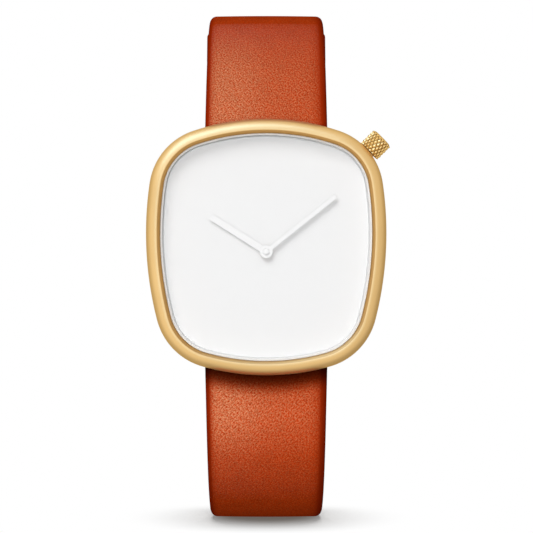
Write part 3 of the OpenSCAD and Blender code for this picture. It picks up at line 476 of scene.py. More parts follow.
class Nodes:
    """The nodes of a material or of the world, and the coordinates that they read."""

    def __init__(self, owner, coordinates):
        owner.use_nodes = True
        self.tree = owner.node_tree
        self.place = self.node("TexCoord").outputs[coordinates]

    def node(self, kind, **settings):
        """A new node with its settings and its inputs by name."""
        made = self.tree.nodes.new("ShaderNode" + kind)
        for key, value in settings.items():
            if key in made.inputs:
                self.feed(value, made.inputs[key])
            else:
                setattr(made, key, value)
        return made

    def feed(self, value, socket):
        """Gives a socket a number, a colour or place as three numbers, or another node's output."""
        if isinstance(value, (int, float)):
            socket.default_value = value
        elif isinstance(value, tuple):
            socket.default_value = (*value, 1) if socket.type == "RGBA" else value
        else:
            self.tree.links.new(value, socket)

    def joined(self, made, *values):
        """The node, with values for its first inputs."""
        for value, socket in zip(values, made.inputs):
            self.feed(value, socket)
        return made

    def maths(self, operation, a, b=0.0):
        return self.joined(self.node("Math", operation=operation), a, b).outputs[0]

    def along(self, axis):
        """How far the place is along an axis."""
        made = self.node("VectorMath", operation="DOT_PRODUCT")
        return self.joined(made, self.place, axis).outputs["Value"]

    def length(self, vector):
        return self.joined(self.node("VectorMath", operation="LENGTH"), vector).outputs["Value"]

    def between(self, factor, first, second):
        """The share of the second of two shaders rises with the factor."""
        return self.joined(self.node("MixShader"), factor, first, second).outputs["Shader"]


class Shader(Nodes):
    """A principled material with helpers for its procedural inputs."""

    def __init__(self, name, colour, roughness, metallic=0.0, specular=0.5, coordinates="Object"):
        self.material = bpy.data.materials.new(name)
        super().__init__(self.material, coordinates)
        self.material.diffuse_color = (*colour, 1)
        self.surface = self.tree.nodes["Principled BSDF"]
        self.to("Base Color", colour).to("Roughness", roughness)
        self.to("Metallic", metallic).to("Specular IOR Level", specular)

    def stretched(self, scale):
        """The coordinates, scaled by a number for each axis."""
        return self.node("Mapping", Scale=scale, Vector=self.place).outputs["Vector"]

    def noise(self, scale, detail=3, roughness=0.55, stretch=(1, 1, 1)):
        return self.node("TexNoise", Scale=scale, Detail=detail, Roughness=roughness,
                         Vector=self.stretched(stretch)).outputs["Fac"]

    def ramp(self, value, *stops, smooth_steps=False):
        """Colours or greys along a value, as (position, colour) stops."""
        made = self.node("ValToRGB", Fac=value)
        if smooth_steps:
            made.color_ramp.interpolation = "EASE"
        elements = made.color_ramp.elements
        while len(elements) < len(stops):
            elements.new(0.5)
        for element, (position, colour) in zip(elements, stops):
            grey = isinstance(colour, (int, float))
            element.position = position
            element.color = (colour, colour, colour, 1) if grey else (*colour, 1)
        return made.outputs["Color"]

    def mixed(self, factor, a, b, blend="MIX"):
        """Mix of two colours, each an output or three numbers; factor is an output or a number."""
        made = self.node("Mix", data_type="RGBA", blend_type=blend)
        for value, socket in ((factor, made.inputs[0]), (a, made.inputs[6]), (b, made.inputs[7])):
            self.feed(value, socket)
        return made.outputs[2]

    def bump(self, height, strength, distance):
        """Adds relief to what there is."""
        made = self.node("Bump", Strength=strength, Distance=distance, Height=height)
        socket = self.surface.inputs["Normal"]
        if socket.is_linked:
            self.feed(socket.links[0].from_socket, made.inputs["Normal"])
        self.feed(made.outputs["Normal"], socket)
        return self

    def to(self, name, value):
        self.feed(value, self.surface.inputs[name])
        return self


def metal(name, colour, roughness, grain, relief, stretch=(1, 1, 1), edge=(1, 1, 1)):
    """Metal with a grain that varies its roughness and relief; grain is in marks per metre.

    edge tints what it mirrors at a grazing angle.
    """
    s = Shader(name, colour, roughness, metallic=1.0)
    s.to("Specular Tint", edge)
    marks = s.noise(grain, 4, 0.6, stretch)
    s.to("Roughness", s.ramp(marks, (0.3, roughness - 0.05), (0.7, roughness + 0.06)))
    darker = tuple(0.93 * c for c in colour)
    s.to("Base Color", s.mixed(s.ramp(s.noise(90, 2), (0.35, 0), (0.65, 1)), darker, colour))
    return s.bump(marks, relief, 0.00002)


def plastic(name, colour, roughness, grain=9000, relief=0.15, specular=0.5):
    s = Shader(name, colour, roughness, specular=specular)
    s.to("Roughness", s.ramp(s.noise(700, 2), (0.3, roughness - 0.04), (0.7, roughness + 0.04)))
    return s.bump(s.noise(grain, 3), relief, 0.00001)


# Leather: marks per centimetre of its grain, pores and broad tones; how far its grain is drawn out slantwise
# on the strap's lower half; tint and greatest level of its gloss; how the case's painted shadow follows the
# case's edge
GRAIN = 46
PORES = 48
BROAD = 3.2
GRAIN_SLANT = -45
GRAIN_DRAWN = 1.4
LEATHER_GLOSS = (1.0, 0.9, 0.5)
MOST_GLOSS = 2.6
CASE_SHADOW_CURVE = 0.13
# Tone and gloss at distances from an edge, darkened there by burnish and painted shade; painted sheen across
# the strap from its left; and the tone of the case's painted shadow out from the case's edge
EDGE_TONE = ((0.03, 0), (0.065, 0.12), (0.09, 0.5), (0.12, 0.75), (0.18, 0.95), (0.25, 1))
EDGE_GLOSS = ((0.05, 0), (0.065, 0.03), (0.09, 0.35), (0.12, 0.6), (0.18, 0.9), (0.25, 1))
SIDE_SHEEN_PAINTED = ((0.08, 1.7), (0.25, 1.6), (0.38, 1.35), (0.5, 1.0), (0.7, 0.85), (0.92, 0.72))
CASE_SHADOW_TONE = ((0.36, 0.1), (0.42, 0.16), (0.5, 0.3), (0.56, 0.52), (0.66, 0.88), (0.72, 1.0))


def leather(name, tones, edge, shine, lower_half_shadowed=False):
    """Fine-grained leather with burnished edges, which painted shade darkens further. Its texture maps are in
    centimetres.

    tones are its pores, face and raised grain; shine is its gloss where it faces the eye and as it turns
    away; a piece of the lower half has the case's shadow painted on it: darker and less glossy where it comes
    out of its pocket, along the case's edge.
    """
    pore, face, raised = tones
    s = Shader(name, face, 0.5, coordinates="UV")
    s.to("Specular Tint", LEATHER_GLOSS)
    rim = s.node("SeparateXYZ", Vector=s.node("UVMap", uv_map="rim").outputs["UV"])
    lie = s.node("Mapping", vector_type="TEXTURE", Rotation=(0, 0, radians(GRAIN_SLANT)),
                 Scale=(GRAIN_DRAWN if lower_half_shadowed else 1, 1, 1), Vector=s.place)
    marks = s.node("TexNoise", Scale=GRAIN, Detail=4, Roughness=0.75, Vector=lie.outputs["Vector"])
    grain = marks.outputs["Fac"]
    cells = s.node("TexVoronoi", feature="SMOOTH_F1", Scale=PORES, Smoothness=0.3, Vector=s.place)
    pores = cells.outputs["Distance"]
    broad = s.noise(BROAD, 4, 0.62)
    tone = s.ramp(grain, (0.38, pore), (0.5, face), (0.62, raised))
    for part in (s.ramp(pores, (0.3, 1.04), (0.75, 0.78)), s.ramp(broad, (0.3, 0.92), (0.72, 1.05))):
        tone = s.mixed(1.0, tone, part, "MULTIPLY")
    # Painted light across the strap from its left to its right: more sheen and a narrower darkened edge band
    # on the left, where the key light falls, and less sheen and a wider darkened edge band on the right
    across = s.along((1, 0, 0))
    side = s.maths("ADD", s.maths("MULTIPLY", across, 0.5), 0.5)
    rim_in = s.maths("MULTIPLY", rim.outputs["X"], s.ramp(side, (0.3, 1.2), (0.7, 0.75)))
    # Edge band: partly burnish, partly painted shade where the rounded edge turns away from the light
    tone = s.mixed(s.ramp(rim_in, *EDGE_TONE), edge, tone)
    facing = s.node("LayerWeight", Blend=0.5)
    gloss = s.ramp(facing.outputs["Facing"], *((at, level / MOST_GLOSS) for at, level in shine))
    gloss = s.maths("MULTIPLY", gloss, MOST_GLOSS)
    uneven = s.ramp(grain, (0.41, 0.05), (0.5, 0.75), (0.59, 1.7))
    for part in (uneven, s.ramp(rim_in, *EDGE_GLOSS), s.ramp(side, *SIDE_SHEEN_PAINTED)):
        gloss = s.maths("MULTIPLY", gloss, part)
    # Painted shadow of the case: darker and less glossy along the case's edge, where the lower half leaves
    # its pocket
    if lower_half_shadowed:
        curve = s.maths("MULTIPLY", s.maths("POWER", across, 2), CASE_SHADOW_CURVE)
        root = s.ramp(s.maths("ADD", rim.outputs["Y"], curve), *CASE_SHADOW_TONE)
        tone = s.mixed(1.0, tone, root, "MULTIPLY")
        gloss = s.maths("MULTIPLY", gloss, s.maths("POWER", root, 2))
    s.to("Base Color", tone)
    s.to("Roughness", s.ramp(grain, (0.3, 0.5), (0.7, 0.42)))
    s.to("Specular IOR Level", gloss)
    s.bump(broad, 0.1, 0.0004)
    s.bump(grain, 0.6, 0.00008)
    s.bump(s.ramp(pores, (0.1, 1), (0.85, 0)), 0.5, 0.00005)
    return s


GOLD_EDGE = (1.0, 0.8, 0.46)
gold_satin = metal("satin_gold", (0.85, 0.56, 0.228), 0.42, 14000, 0.25, edge=GOLD_EDGE)
gold_knurled = metal("knurled_gold", (0.93, 0.6, 0.21), 0.22, 9000, 0.1, edge=GOLD_EDGE)
# Dark copy of the crown's gold: painted shade deep in the knurl's grooves
gold_groove_shade = metal("groove_gold_shaded", (0.26, 0.12, 0.025), 0.36, 9000, 0.1, edge=GOLD_EDGE)
gold_bright = metal("bright_gold", (0.8, 0.5, 0.19), 0.2, 9000, 0.1)
# Darker gold on the ring's crease and inner slope: painted shade
gold_crease_shade = metal("crease_gold_shaded", (0.56, 0.31, 0.1), 0.4, 12000, 0.25, edge=GOLD_EDGE)
steel_brushed = metal("brushed_steel", (0.62, 0.62, 0.63), 0.3, 2500, 0.2, (1, 1, 14))
steel_bright = metal("bright_steel", (0.68, 0.68, 0.69), 0.2, 6000, 0.1)
magnet_grey = metal("ground_magnet", (0.22, 0.22, 0.24), 0.35, 8000, 0.2)
brass = metal("rolled_brass", (0.74, 0.52, 0.2), 0.25, 5000, 0.12)
copper = metal("wound_copper", (0.7, 0.27, 0.1), 0.3, 2000, 0.5, (20, 1, 1))
white_lacquer = plastic("white_lacquer", (0.89, 0.89, 0.89), 0.5, 20000, 0.05, 0.1)
bare_edge = plastic("bare_edge", (0.4, 0.4, 0.4), 0.5, 20000, 0.05, 0.1)
# Grey for the cap's groove: painted shade
groove_shade_grey = plastic("groove_shade_grey", (0.78, 0.78, 0.78), 0.5, 20000, 0.05)


# Where the flange's foot is in shade: the way to its darkest side, and its grey from there to the other side
SHADE_AXIS = (-0.5, 0, 0.85)
SHADE_GREYS = ((0.2, 0.98), (0.4, 0.94), (0.75, 0.75), (0.92, 0.34))


def shaded_foot():
    """White plastic that darkens towards the upper left, where the case keeps the light off it."""
    s = plastic("flange_shade", (0.94, 0.94, 0.94), 0.5, 20000, 0.05)
    middle = SHADE_AXIS[2] * HANDS_UP * MM
    share = s.maths("DIVIDE", s.maths("SUBTRACT", s.along(SHADE_AXIS), middle), CASE_W * MM)
    return s.to("Base Color", s.ramp(s.maths("ADD", share, 0.5), *SHADE_GREYS))


flange_shade = shaded_foot()
dial_white = plastic("dial_white", (0.86, 0.86, 0.86), 0.6, 26000, 0.12)
white_moulded = plastic("white_moulding", (0.86, 0.87, 0.86), 0.45)
board_green = plastic("board_lacquer", (0.02, 0.12, 0.05), 0.35)
black_moulded = plastic("black_moulding", (0.012, 0.012, 0.014), 0.45)
rubber_black = plastic("black_rubber", (0.02, 0.02, 0.02), 0.7, 5000, 0.3)
ruby = plastic("ruby", (0.5, 0.01, 0.06), 0.08)
# Tones of pores, face and raised grain; the raised grain's paler, whiter tone is partly painted sheen on its
# tips
TAN = ((0.38, 0.024, 0.001), (0.43, 0.036, 0.002), (0.48, 0.082, 0.02))
# The lower half's tones are a lighter copy of the upper half's: painted light for the stronger front light on
# it
TAN_BELOW_LIT = ((0.52, 0.033, 0.0015), (0.57, 0.052, 0.0035), (0.61, 0.1, 0.025))
# Edge colour: burnished leather, made darker still to paint the shade on the rounded edges
BURNISHED_AND_SHADED = (0.27, 0.0175, 0.0012)
EDGE_TONES = ((0.25, 0.018, 0.001), (0.3, 0.025, 0.002), (0.36, 0.04, 0.004))
LINING_TONES = ((0.52, 0.27, 0.11), (0.6, 0.33, 0.15), (0.66, 0.4, 0.2))
# Gloss of the strap, as (how far it turns away from the eye, level)
SHINE_ABOVE = ((0.05, 1.4), (0.14, 1.3), (0.27, 0.9), (0.36, 0.6), (0.45, 0.3), (0.55, 0.1), (0.65, 0))
SHINE_BELOW = ((0.01, 2.5), (0.02, 1.7), (0.065, 1.2), (0.147, 0.52), (0.277, 0.22), (0.415, 0.03), (0.5, 0))
SHINE_DULL = ((0.1, 0.2), (0.4, 0))
hide = leather("strap_leather", TAN, BURNISHED_AND_SHADED, SHINE_ABOVE)
# The lower half gets the case's painted shadow where it leaves its pocket
hide_below = leather("strap_leather_below", TAN_BELOW_LIT, BURNISHED_AND_SHADED, SHINE_BELOW, lower_half_shadowed=True)
hide_edge = leather("burnished_edge", EDGE_TONES, BURNISHED_AND_SHADED, SHINE_DULL)
lining_hide = leather("lining_leather", LINING_TONES, (0.42, 0.2, 0.08), SHINE_DULL)


def crystal_material(name, colour, alpha, roughness):
    s = Shader(name, colour, roughness, specular=0.5)
    s.to("Alpha", alpha)
    s.to("Roughness", s.ramp(s.noise(300, 2), (0.3, roughness), (0.7, roughness + 0.01)))
    return s


crystal_clear = crystal_material("crystal_clear", (0.95, 0.97, 1.0), 0.03, 0.02)
# Pale, hazy bevel: a painted white reflection along the crystal's edge
crystal_bevel_reflection = crystal_material("crystal_bevel", (0.95, 0.98, 1.0), 0.14, 0.4)


# Case

def ring_section():
    """(inset, height) of the case from its back edge over the ring's crest to the crease."""
    below = WIDEST_Z - BACK_EDGE_T
    above = RING_TOP - WIDEST_Z
    crest = CREST * SATIN_W
    rows = [(BACK_INSET, 0)]
    rows += [(BACK_INSET * (1 - cos(a)), WIDEST_Z - below * sin(a)) for a in reversed(quarter(16))]
    rows += [(crest * (1 - cos(a)), WIDEST_Z + above * sin(a)) for a in quarter(16, 1)]
    for x in [i / 6 for i in range(1, 7)]:
        rows.append((crest + (SATIN_W - crest) * x, RING_TOP - CREASE_DROP * x * x))
    return rows


def crease_section():
    """(inset, height) of the inner slope, from the crease to the crystal's seat."""
    top = RING_TOP - CREASE_DROP
    low = RING_TOP - INNER_DROP
    return [
        (SATIN_W + HAIR, top - CREASE_D * 2 / 3), (SATIN_W + CREASE_W, top - CREASE_D),
        (RING_W - 1.5 * SOFT_EDGE, low + SOFT_EDGE), (RING_W, low - SOFT_EDGE),
        (RING_W, CRYSTAL_Z), (RING_W, DIAL_Z),
    ]


def pocket_cutters(edge, side):
    """Cutters for one lug pocket and its bar's holes."""
    half_w = STRAP_W / 2 + STRAP_SLACK
    bar_y = edge - BAR_INSET
    inner = bar_y - STRAP_END_T / 2 - POCKET_GAP
    top = BAR_Z + STRAP_END_T / 2 + STRAP_SLACK
    place = HEAD @ Matrix.Diagonal((1, side, 1, 1))
    recess = block("pocket", (-half_w, inner, -PAST), (half_w, edge + PAST, top), place, gold_satin)
    across = Matrix.Translation((0, bar_y, BAR_Z)) @ ACROSS
    reach = half_w + PIN_GRIP + STRAP_SLACK
    holes = rod("pin_holes", PIN_R + RUNNING, -reach, reach, place @ across, gold_satin, 24)
    return [recess, holes]


def make_case():
    ring = ring_section()
    # The crease and inner slope get the darker gold of painted shade
    shell = framed("case_shell", ring + crease_section(), [gold_satin, gold_crease_shade],
                   part=lambda k, i: 1 if k >= len(ring) - 1 else 0)
    tube_from = CROWN_FROM - CROWN_TUBE_IN
    cut(shell, [
        rod("cavity", CAVITY_R, -PAST, DIAL_Z + PAST, HEAD, gold_satin, 96),
        rod("back_seat", CASE_BACK_R + SNUG, -PAST, BACK_SEAT_Z, HEAD, gold_satin, 96),
        *pocket_cutters(CASE_ABOVE, 1),
        *pocket_cutters(CASE_BELOW, -1),
        rod("stem_hole", STEM_HOLE_R, CAVITY_R - PAST, tube_from + PAST, crown_matrix(), gold_satin, 24),
        rod("tube_hole", CROWN_TUBE_R, tube_from, CROWN_FROM + CROWN_L, crown_matrix(), gold_satin),
    ])
    dress(shell, "case", "satin_gold", "case_middle")


def make_case_back():
    """The snap-on back: a brushed plate with a turned groove, a rounded edge and an opener's notch."""
    back = -CASE_BACK_PROUD
    inner = back + CASE_BACK_T
    bed = back + BACK_GROOVE_D
    hoop = CAVITY_R - HOOP_GAP
    wide, narrow = BACK_SLOPE
    profile = [
        (CENTRE_R, back), (BACK_GROOVE_R - wide, back), (BACK_GROOVE_R - narrow, bed),
        (BACK_GROOVE_R + narrow, bed), (BACK_GROOVE_R + wide, back), (CASE_BACK_R - wide, back),
        (CASE_BACK_R - narrow, bed), (CASE_BACK_R, back + 2 * narrow), (CASE_BACK_R, inner), (hoop, inner),
        (hoop, HOOP_Z), (hoop - HOOP_T, HOOP_Z), (hoop - HOOP_T, inner), (CENTRE_R, inner),
    ]
    plate = turned("case_back_plate", profile, HEAD, [case_back_steel], 128)
    half_w, depth = OPENER_NOTCH
    notch = block("notch", (-half_w, -CASE_BACK_R - PAST, back + depth),
                  (half_w, -CASE_BACK_R + depth, inner + depth), HEAD, case_back_steel)
    cut(plate, [notch], 25)
    dress(plate, "case", "steel", "case_back")


def turned_steel():
    """Steel with circular brushing about the hands' axis."""
    s = Shader("turned_steel", (0.6, 0.6, 0.61), 0.3, metallic=1.0)
    flat = s.node("Mapping", Location=(0, 0, -HANDS_UP * MM), Scale=(1, 0, 1), Vector=s.place)
    lines = s.node("TexNoise", noise_dimensions="1D", Scale=9000, Detail=4,
                   W=s.length(flat.outputs["Vector"]))
    s.to("Roughness", s.ramp(lines.outputs["Fac"], (0.3, 0.22), (0.7, 0.36)))
    return s.bump(lines.outputs["Fac"], 0.35, 0.00002)


case_back_steel = turned_steel()


def make_crystal():
    """The crystal, with a rough, pale bevel that paints the white reflection along its edge."""
    rows = [
        (CRYSTAL_INSET, CRYSTAL_Z + HAIR), (CRYSTAL_INSET, CRYSTAL_TOP - CRYSTAL_BEVEL),
        (CRYSTAL_INSET + CRYSTAL_BEVEL, CRYSTAL_TOP),
    ]
    glass = framed("crystal_glass", rows, [crystal_bevel_reflection, crystal_clear])
    for poly in glass.data.polygons:
        if len(poly.vertices) > 4:
            poly.material_index = 1
    smooth(glass.data, 20)
    dress(glass, "case", "crystal_glass", "crystal")


def make_gasket():
    """The white gasket that carries the crystal."""
    inner = CRYSTAL_INSET + GASKET_W
    top = CRYSTAL_Z - HAIR
    rows = [
        (CRYSTAL_INSET, FLANGE_TOP), (CRYSTAL_INSET, top), (inner - SOFT_EDGE, top),
        (inner, top - SOFT_EDGE), (inner, FLANGE_TOP), (CRYSTAL_INSET, FLANGE_TOP),
    ]
    ring = framed("crystal_gasket_ring", rows, [white_moulded], caps=False)
    dress(ring, "case", "white_plastic", "crystal_gasket")


def make_flange():
    """The sloped ring round the dial, with a shaded foot."""
    head = CRYSTAL_INSET + GASKET_W
    top = FLANGE_TOP - HAIR
    rows = [
        (SEAT_INSET, DIAL_TOP), (SEAT_INSET, top), (head, top),
        ((head + FLANGE_INSET) / 2, (DIAL_TOP + FLANGE_TOP) / 2), (FLANGE_INSET, DIAL_TOP),
        (SEAT_INSET, DIAL_TOP),
    ]
    ring = framed("dial_flange", rows, [white_moulded, flange_shade], caps=False,
                  part=lambda k, i: 1 if k == 2 else 0)
    dress(ring, "case", "white_plastic", "flange_ring")


def make_dial():
    rows = [(SEAT_INSET, DIAL_Z), (SEAT_INSET, DIAL_TOP - SOFT_EDGE), (SEAT_INSET + SOFT_EDGE, DIAL_TOP)]
    plate = framed("dial_plate", rows, [dial_white])
    hole = rod("dial_hole", DIAL_HOLE_R, DIAL_Z - PAST, DIAL_TOP + PAST, HEAD, dial_white)
    cut(plate, [hole])
    dress(plate, "case", "white_paint", "dial")


# Hands

def hand_outline(length, hub_w, tip_w, inset):
    """Points of a hub disc with a straight hand, moved inwards by inset."""
    r = HUB_R - inset
    leave = asin((hub_w / 2 - inset) / r)
    steps = 40
    turns = [leave + (2 * pi - 2 * leave) * i / steps for i in range(steps + 1)]
    tip = tip_w / 2 - inset
    end = length - inset
    corner = 2 * HAND_SOFT
    return [(r * cos(a), r * sin(a)) for a in turns] + [
        (end - corner, -tip), (end, -tip + corner), (end, tip - corner), (end - corner, tip),
    ]


def make_hand(name, size, z, body, node):
    length, hub_w, tip_w, turn = size
    top = z + HAND_T
    near = HAND_SOFT * 0.3
    rows = [(0, z), (0, top - HAND_SOFT), (near, top - near), (HAND_SOFT, top)]
    rings = [[Vector((x, y, h)) for x, y in hand_outline(length, hub_w, tip_w, inset)] for inset, h in rows]
    hand = loft(name, rings, head_matrix(radians(turn)), [white_lacquer, bare_edge],
                part=lambda k, i: 1 if k == 0 else 0)
    smooth(hand.data, 10)
    dress(hand, body, "white_paint", node)


def make_cap():
    """The cap over the hands: a low dome with one turned groove, painted grey as its shade."""
    z = MINUTE_Z + HAND_T
    rim = z + CAP_RIM_H
    bed = rim - CAP_GROOVE_D
    out = CAP_GROOVE_R + CAP_GROOVE_W / 2
    into = CAP_GROOVE_R - CAP_GROOVE_W / 2
    profile = [
        (CAP_R, z), (CAP_R, rim - HAND_SOFT), (CAP_R - HAND_SOFT, rim), (out, rim), (out - HAIR, bed),
        (into + HAIR, bed), (into, rim), (into - CAP_SLOPE, z + CAP_H - HAIR / 2), (CAP_TOP_R, z + CAP_H),
    ]
    cap = turned("hand_cap_dome", profile, HEAD, [white_lacquer, groove_shade_grey],
                 part=lambda k, i: 1 if k in (3, 4, 5) else 0)
    dress(cap, "minute_train", "white_paint", "hand_cap")


# Crown

def make_crown():
    """The knurled crown: pyramids between two sets of grooves, with painted shade deep in the grooves, turned
    chamfers and a plain end.
    """
    end = CROWN_FROM + CROWN_L
    fine = 6
    columns = 2 * KNURL_AROUND * fine
    rows = (KNURL_ROWS - 1) * fine
    low = CROWN_FROM + CROWN_FOOT
    high = end - CROWN_CHAMFER
    root = CROWN_R - KNURL_DEPTH

    def slope(x):
        """1 on a ridge between two grooves of a set, 0 in a groove."""
        return abs(x % 2 - 1)

    def tip(row, column):
        """Height of the knurl: pyramids with slightly worn tips between two sets of diagonal grooves."""
        x = row / fine
        y = column / fine
        return KNURL_DEPTH * min(1, min(slope(x + y), slope(x - y)) * TIP_WEAR)

    def groove(ring, column):
        """Which material a facet has: 1, the dark gold of painted shade, deep in a groove, otherwise 0."""
        row = ring - 1
        if not 0 <= row < rows:
            return 0
        return 1 if tip(row + 0.5, column + 0.5) < SHADED_GROOVE_SHARE * KNURL_DEPTH else 0

    rings = [circle(root - CROWN_FOOT, CROWN_FROM, columns)]
    for row in range(rows + 1):
        z = low + (high - low) * row / rows
        ring = []
        for column in range(columns):
            a = 2 * pi * column / columns
            r = root + tip(row, column)
            ring.append(Vector((r * cos(a), r * sin(a), z)))
        rings.append(ring)
    rim = root - CROWN_CHAMFER
    dish = end - CROWN_DISH
    for r, z in ((rim, end), (rim - CROWN_LIP_W, end), (rim - CROWN_DISH_IN, dish), (CROWN_CENTRE_R, dish)):
        rings.append(circle(r, z, columns))
    crown = loft("crown_knurled", rings, crown_matrix(), [gold_knurled, gold_groove_shade], part=groove)
    bore = rod("crown_bore", CROWN_BORE_R, CROWN_FROM - PAST, CROWN_FROM + CROWN_BORE_L, crown_matrix(),
               gold_knurled)
    cut(crown, [bore], 40)
    dress(crown, "crown_set", "satin_gold", "crown")


# Strap

def eased(x):
    return 0 if x >= 1 else (1 + cos(pi * max(0, x))) / 2


def half_thickness(s, length, far_r):
    plain = STRAP_T / 2
    start = (STRAP_END_T / 2 - plain) * eased(s / BLEND_L)
    return plain + start + (far_r - plain) * eased((length - s) / BLEND_L)


def width_at(s, length, far_w):
    return STRAP_W - (STRAP_W - far_w) * max(0, min(1, s / length))


def section(w, high, low, edge):
    """Points across the strap, clockwise from its inner left corner, with their distance across."""
    half = w / 2
    thick = high - low
    r = min(edge, thick * EDGE_SHARE)
    cut_r = min(EDGE_CUT, r / 4)
    shoulder = high - DOME * min(1, thick / STRAP_T)
    side = []
    for x in [i / 9 for i in range(1, 9)]:
        side.append((x * (half - r), high - (high - shoulder) * x * x))
    side += [(half - r * (1 - sin(a)), shoulder - r * (1 - cos(a))) for a in quarter(8)]
    near = cut_r * 0.3
    side += [(half, low + cut_r), (half - near, low + near), (half - cut_r, low), (half / 2, low)]
    points = [(-x, z) for x, z in reversed(side)] + [(0, high)] + side + [(0, low)]
    lengths = running_lengths(points)
    across = [length - lengths[len(side)] for length in lengths]
    return points, across


def running_lengths(points):
    """Distance along a row of points at each of them."""
    lengths = [0]
    for a, b in zip(points, points[1:]):
        lengths.append(lengths[-1] + dist(a, b))
    return lengths


def swept(name, half, stations, shaders, edge=EDGE_R):
    """A solid along a strap half. Each station is (length, width, height of the face, of the inside)."""
    rings = []
    coordinates = []
    for s, w, high, low in stations:
        points, across = section(w, high, low, edge)
        u, v, heading = half.along(s)
        y = CASE_Y + u
        rings.append([Vector((x, y - z * cos(heading), HANDS_UP + half.side * (v + z * sin(heading))))
                      for x, z in points])
        coordinates.append([(a, s, w / 2 - abs(x)) for a, (x, z) in zip(across, points)])
    return loft(name, rings, Matrix.Scale(MM, 4), shaders, coordinates)


def rounded_end(at, r, w, direction):
    """Stations of a rounded end round a bar, from its outermost line inwards."""
    return [(at + direction * r * cos(a), w, r * sin(a), -r * sin(a)) for a in quarter(10, 1)[:-1]]


def whole(t):
    """Heights of the outside and inside where the face is folded round; t is half the strap's thickness."""
    return t, -t


def face_part(t):
    return t, LINING_T - t


def lining_part(t):
    return LINING_T - t, -t


def run(start, end, strap, part):
    """Stations of a part of the strap; strap is its length and its far end's half thickness and width."""
    length, far_r, far_w = strap
    count = ceil((end - start) / STATION_STEP)
    places = [start + (end - start) * i / count for i in range(count + 1)]
    return [(s, width_at(s, length, far_w), *part(half_thickness(s, length, far_r))) for s in places]


def near_end(strap, plain_to):
    """Stations of the face leather from its bar to where its plain run ends."""
    rows = rounded_end(0, STRAP_END_T / 2, STRAP_W, -1)
    return rows + run(0, FOLD_L, strap, whole) + run(FOLD_L + SKIVE, plain_to, strap, face_part)


def bar_hole(half, s, r):
    return rod("bar_hole", r, -STRAP_W, STRAP_W, half_matrix(half, s) @ ACROSS, hide_edge)


def make_upper_strap():
    strap = (UPPER_L, BUCKLE_END_R, BUCKLE_END_W)
    plain_to = UPPER_L - FOLD_L - SKIVE
    rows = near_end(strap, plain_to)
    for s, _, high, low in run(UPPER_L - FOLD_L, UPPER_L, strap, whole):
        rows.append((s, BUCKLE_END_W, high, low))
    rows += reversed(rounded_end(UPPER_L, BUCKLE_END_R, BUCKLE_END_W, 1))
    face = swept("strap_upper_face", UPPER, rows, [hide, hide_edge])
    half_w = SLOT_W / 2
    slot = block("slot", (-half_w, -SLOT_L, -STRAP_T), (half_w, STRAP_T, STRAP_T),
                 half_matrix(UPPER, UPPER_L), hide_edge)
    cut(face, [bar_hole(UPPER, 0, LUG_BAR_R), bar_hole(UPPER, UPPER_L, BUCKLE_BAR_R + RUNNING), slot])
    dress(face, "upper_strap", "leather", "strap_upper")
    rows = run(FOLD_L + SKIVE, plain_to, strap, lining_part)
    lining = swept("strap_upper_back", UPPER, rows, [lining_hide], LINING_EDGE_R)
    dress(lining, "upper_strap", "lining_leather", "strap_upper_lining")


def tip_rows(high, low):
    """Stations of the free end, which narrows to a round tip."""
    rows = []
    plain = LOWER_L - TIP_L
    for a in quarter(18, 1):
        x = sin(a)
        w = width_at(plain + TIP_L * x, LOWER_L, TAIL_W) * sqrt(max(0, 1 - x * x))
        rows.append((plain + TIP_L * x, max(TIP_LEAST_W, w), high, low))
    return rows


def buckle_holes():
    places = [half_matrix(LOWER, LOWER_L - FIRST_HOLE - i * HOLE_PITCH) for i in range(HOLES)]
    return [rod("hole", HOLE_R, -STRAP_T, STRAP_T, place, hide_edge) for place in places]


def make_lower_strap():
    t = STRAP_T / 2
    strap = (LOWER_L, t, TAIL_W)
    plain_to = LOWER_L - TIP_L
    rows = near_end(strap, plain_to) + tip_rows(*face_part(t))
    face = swept("strap_lower_face", LOWER, rows, [hide_below, hide_edge])
    cut(face, [bar_hole(LOWER, 0, LUG_BAR_R), *buckle_holes()])
    dress(face, "lower_strap", "leather", "strap_lower")
    rows = run(FOLD_L + SKIVE, plain_to, strap, lining_part) + tip_rows(*lining_part(t))
    lining = swept("strap_lower_back", LOWER, rows, [lining_hide], LINING_EDGE_R)
    cut(lining, buckle_holes())
    dress(lining, "lower_strap", "lining_leather", "strap_lower_lining")


# Keepers

def rounded(w, h, r, steps=4, first=0):
    """Points (across, up) of a rectangle with round corners, from its upper right unless first is set."""
    points = []
    for corner in range(first, first + 4):
        cx = (w / 2 - r) * (1, -1, -1, 1)[corner % 4]
        cy = (h / 2 - r) * (1, 1, -1, -1)[corner % 4]
        for a in quarter(steps):
            a += pi / 2 * corner
            points.append((cx + r * cos(a), cy + r * sin(a)))
    return points


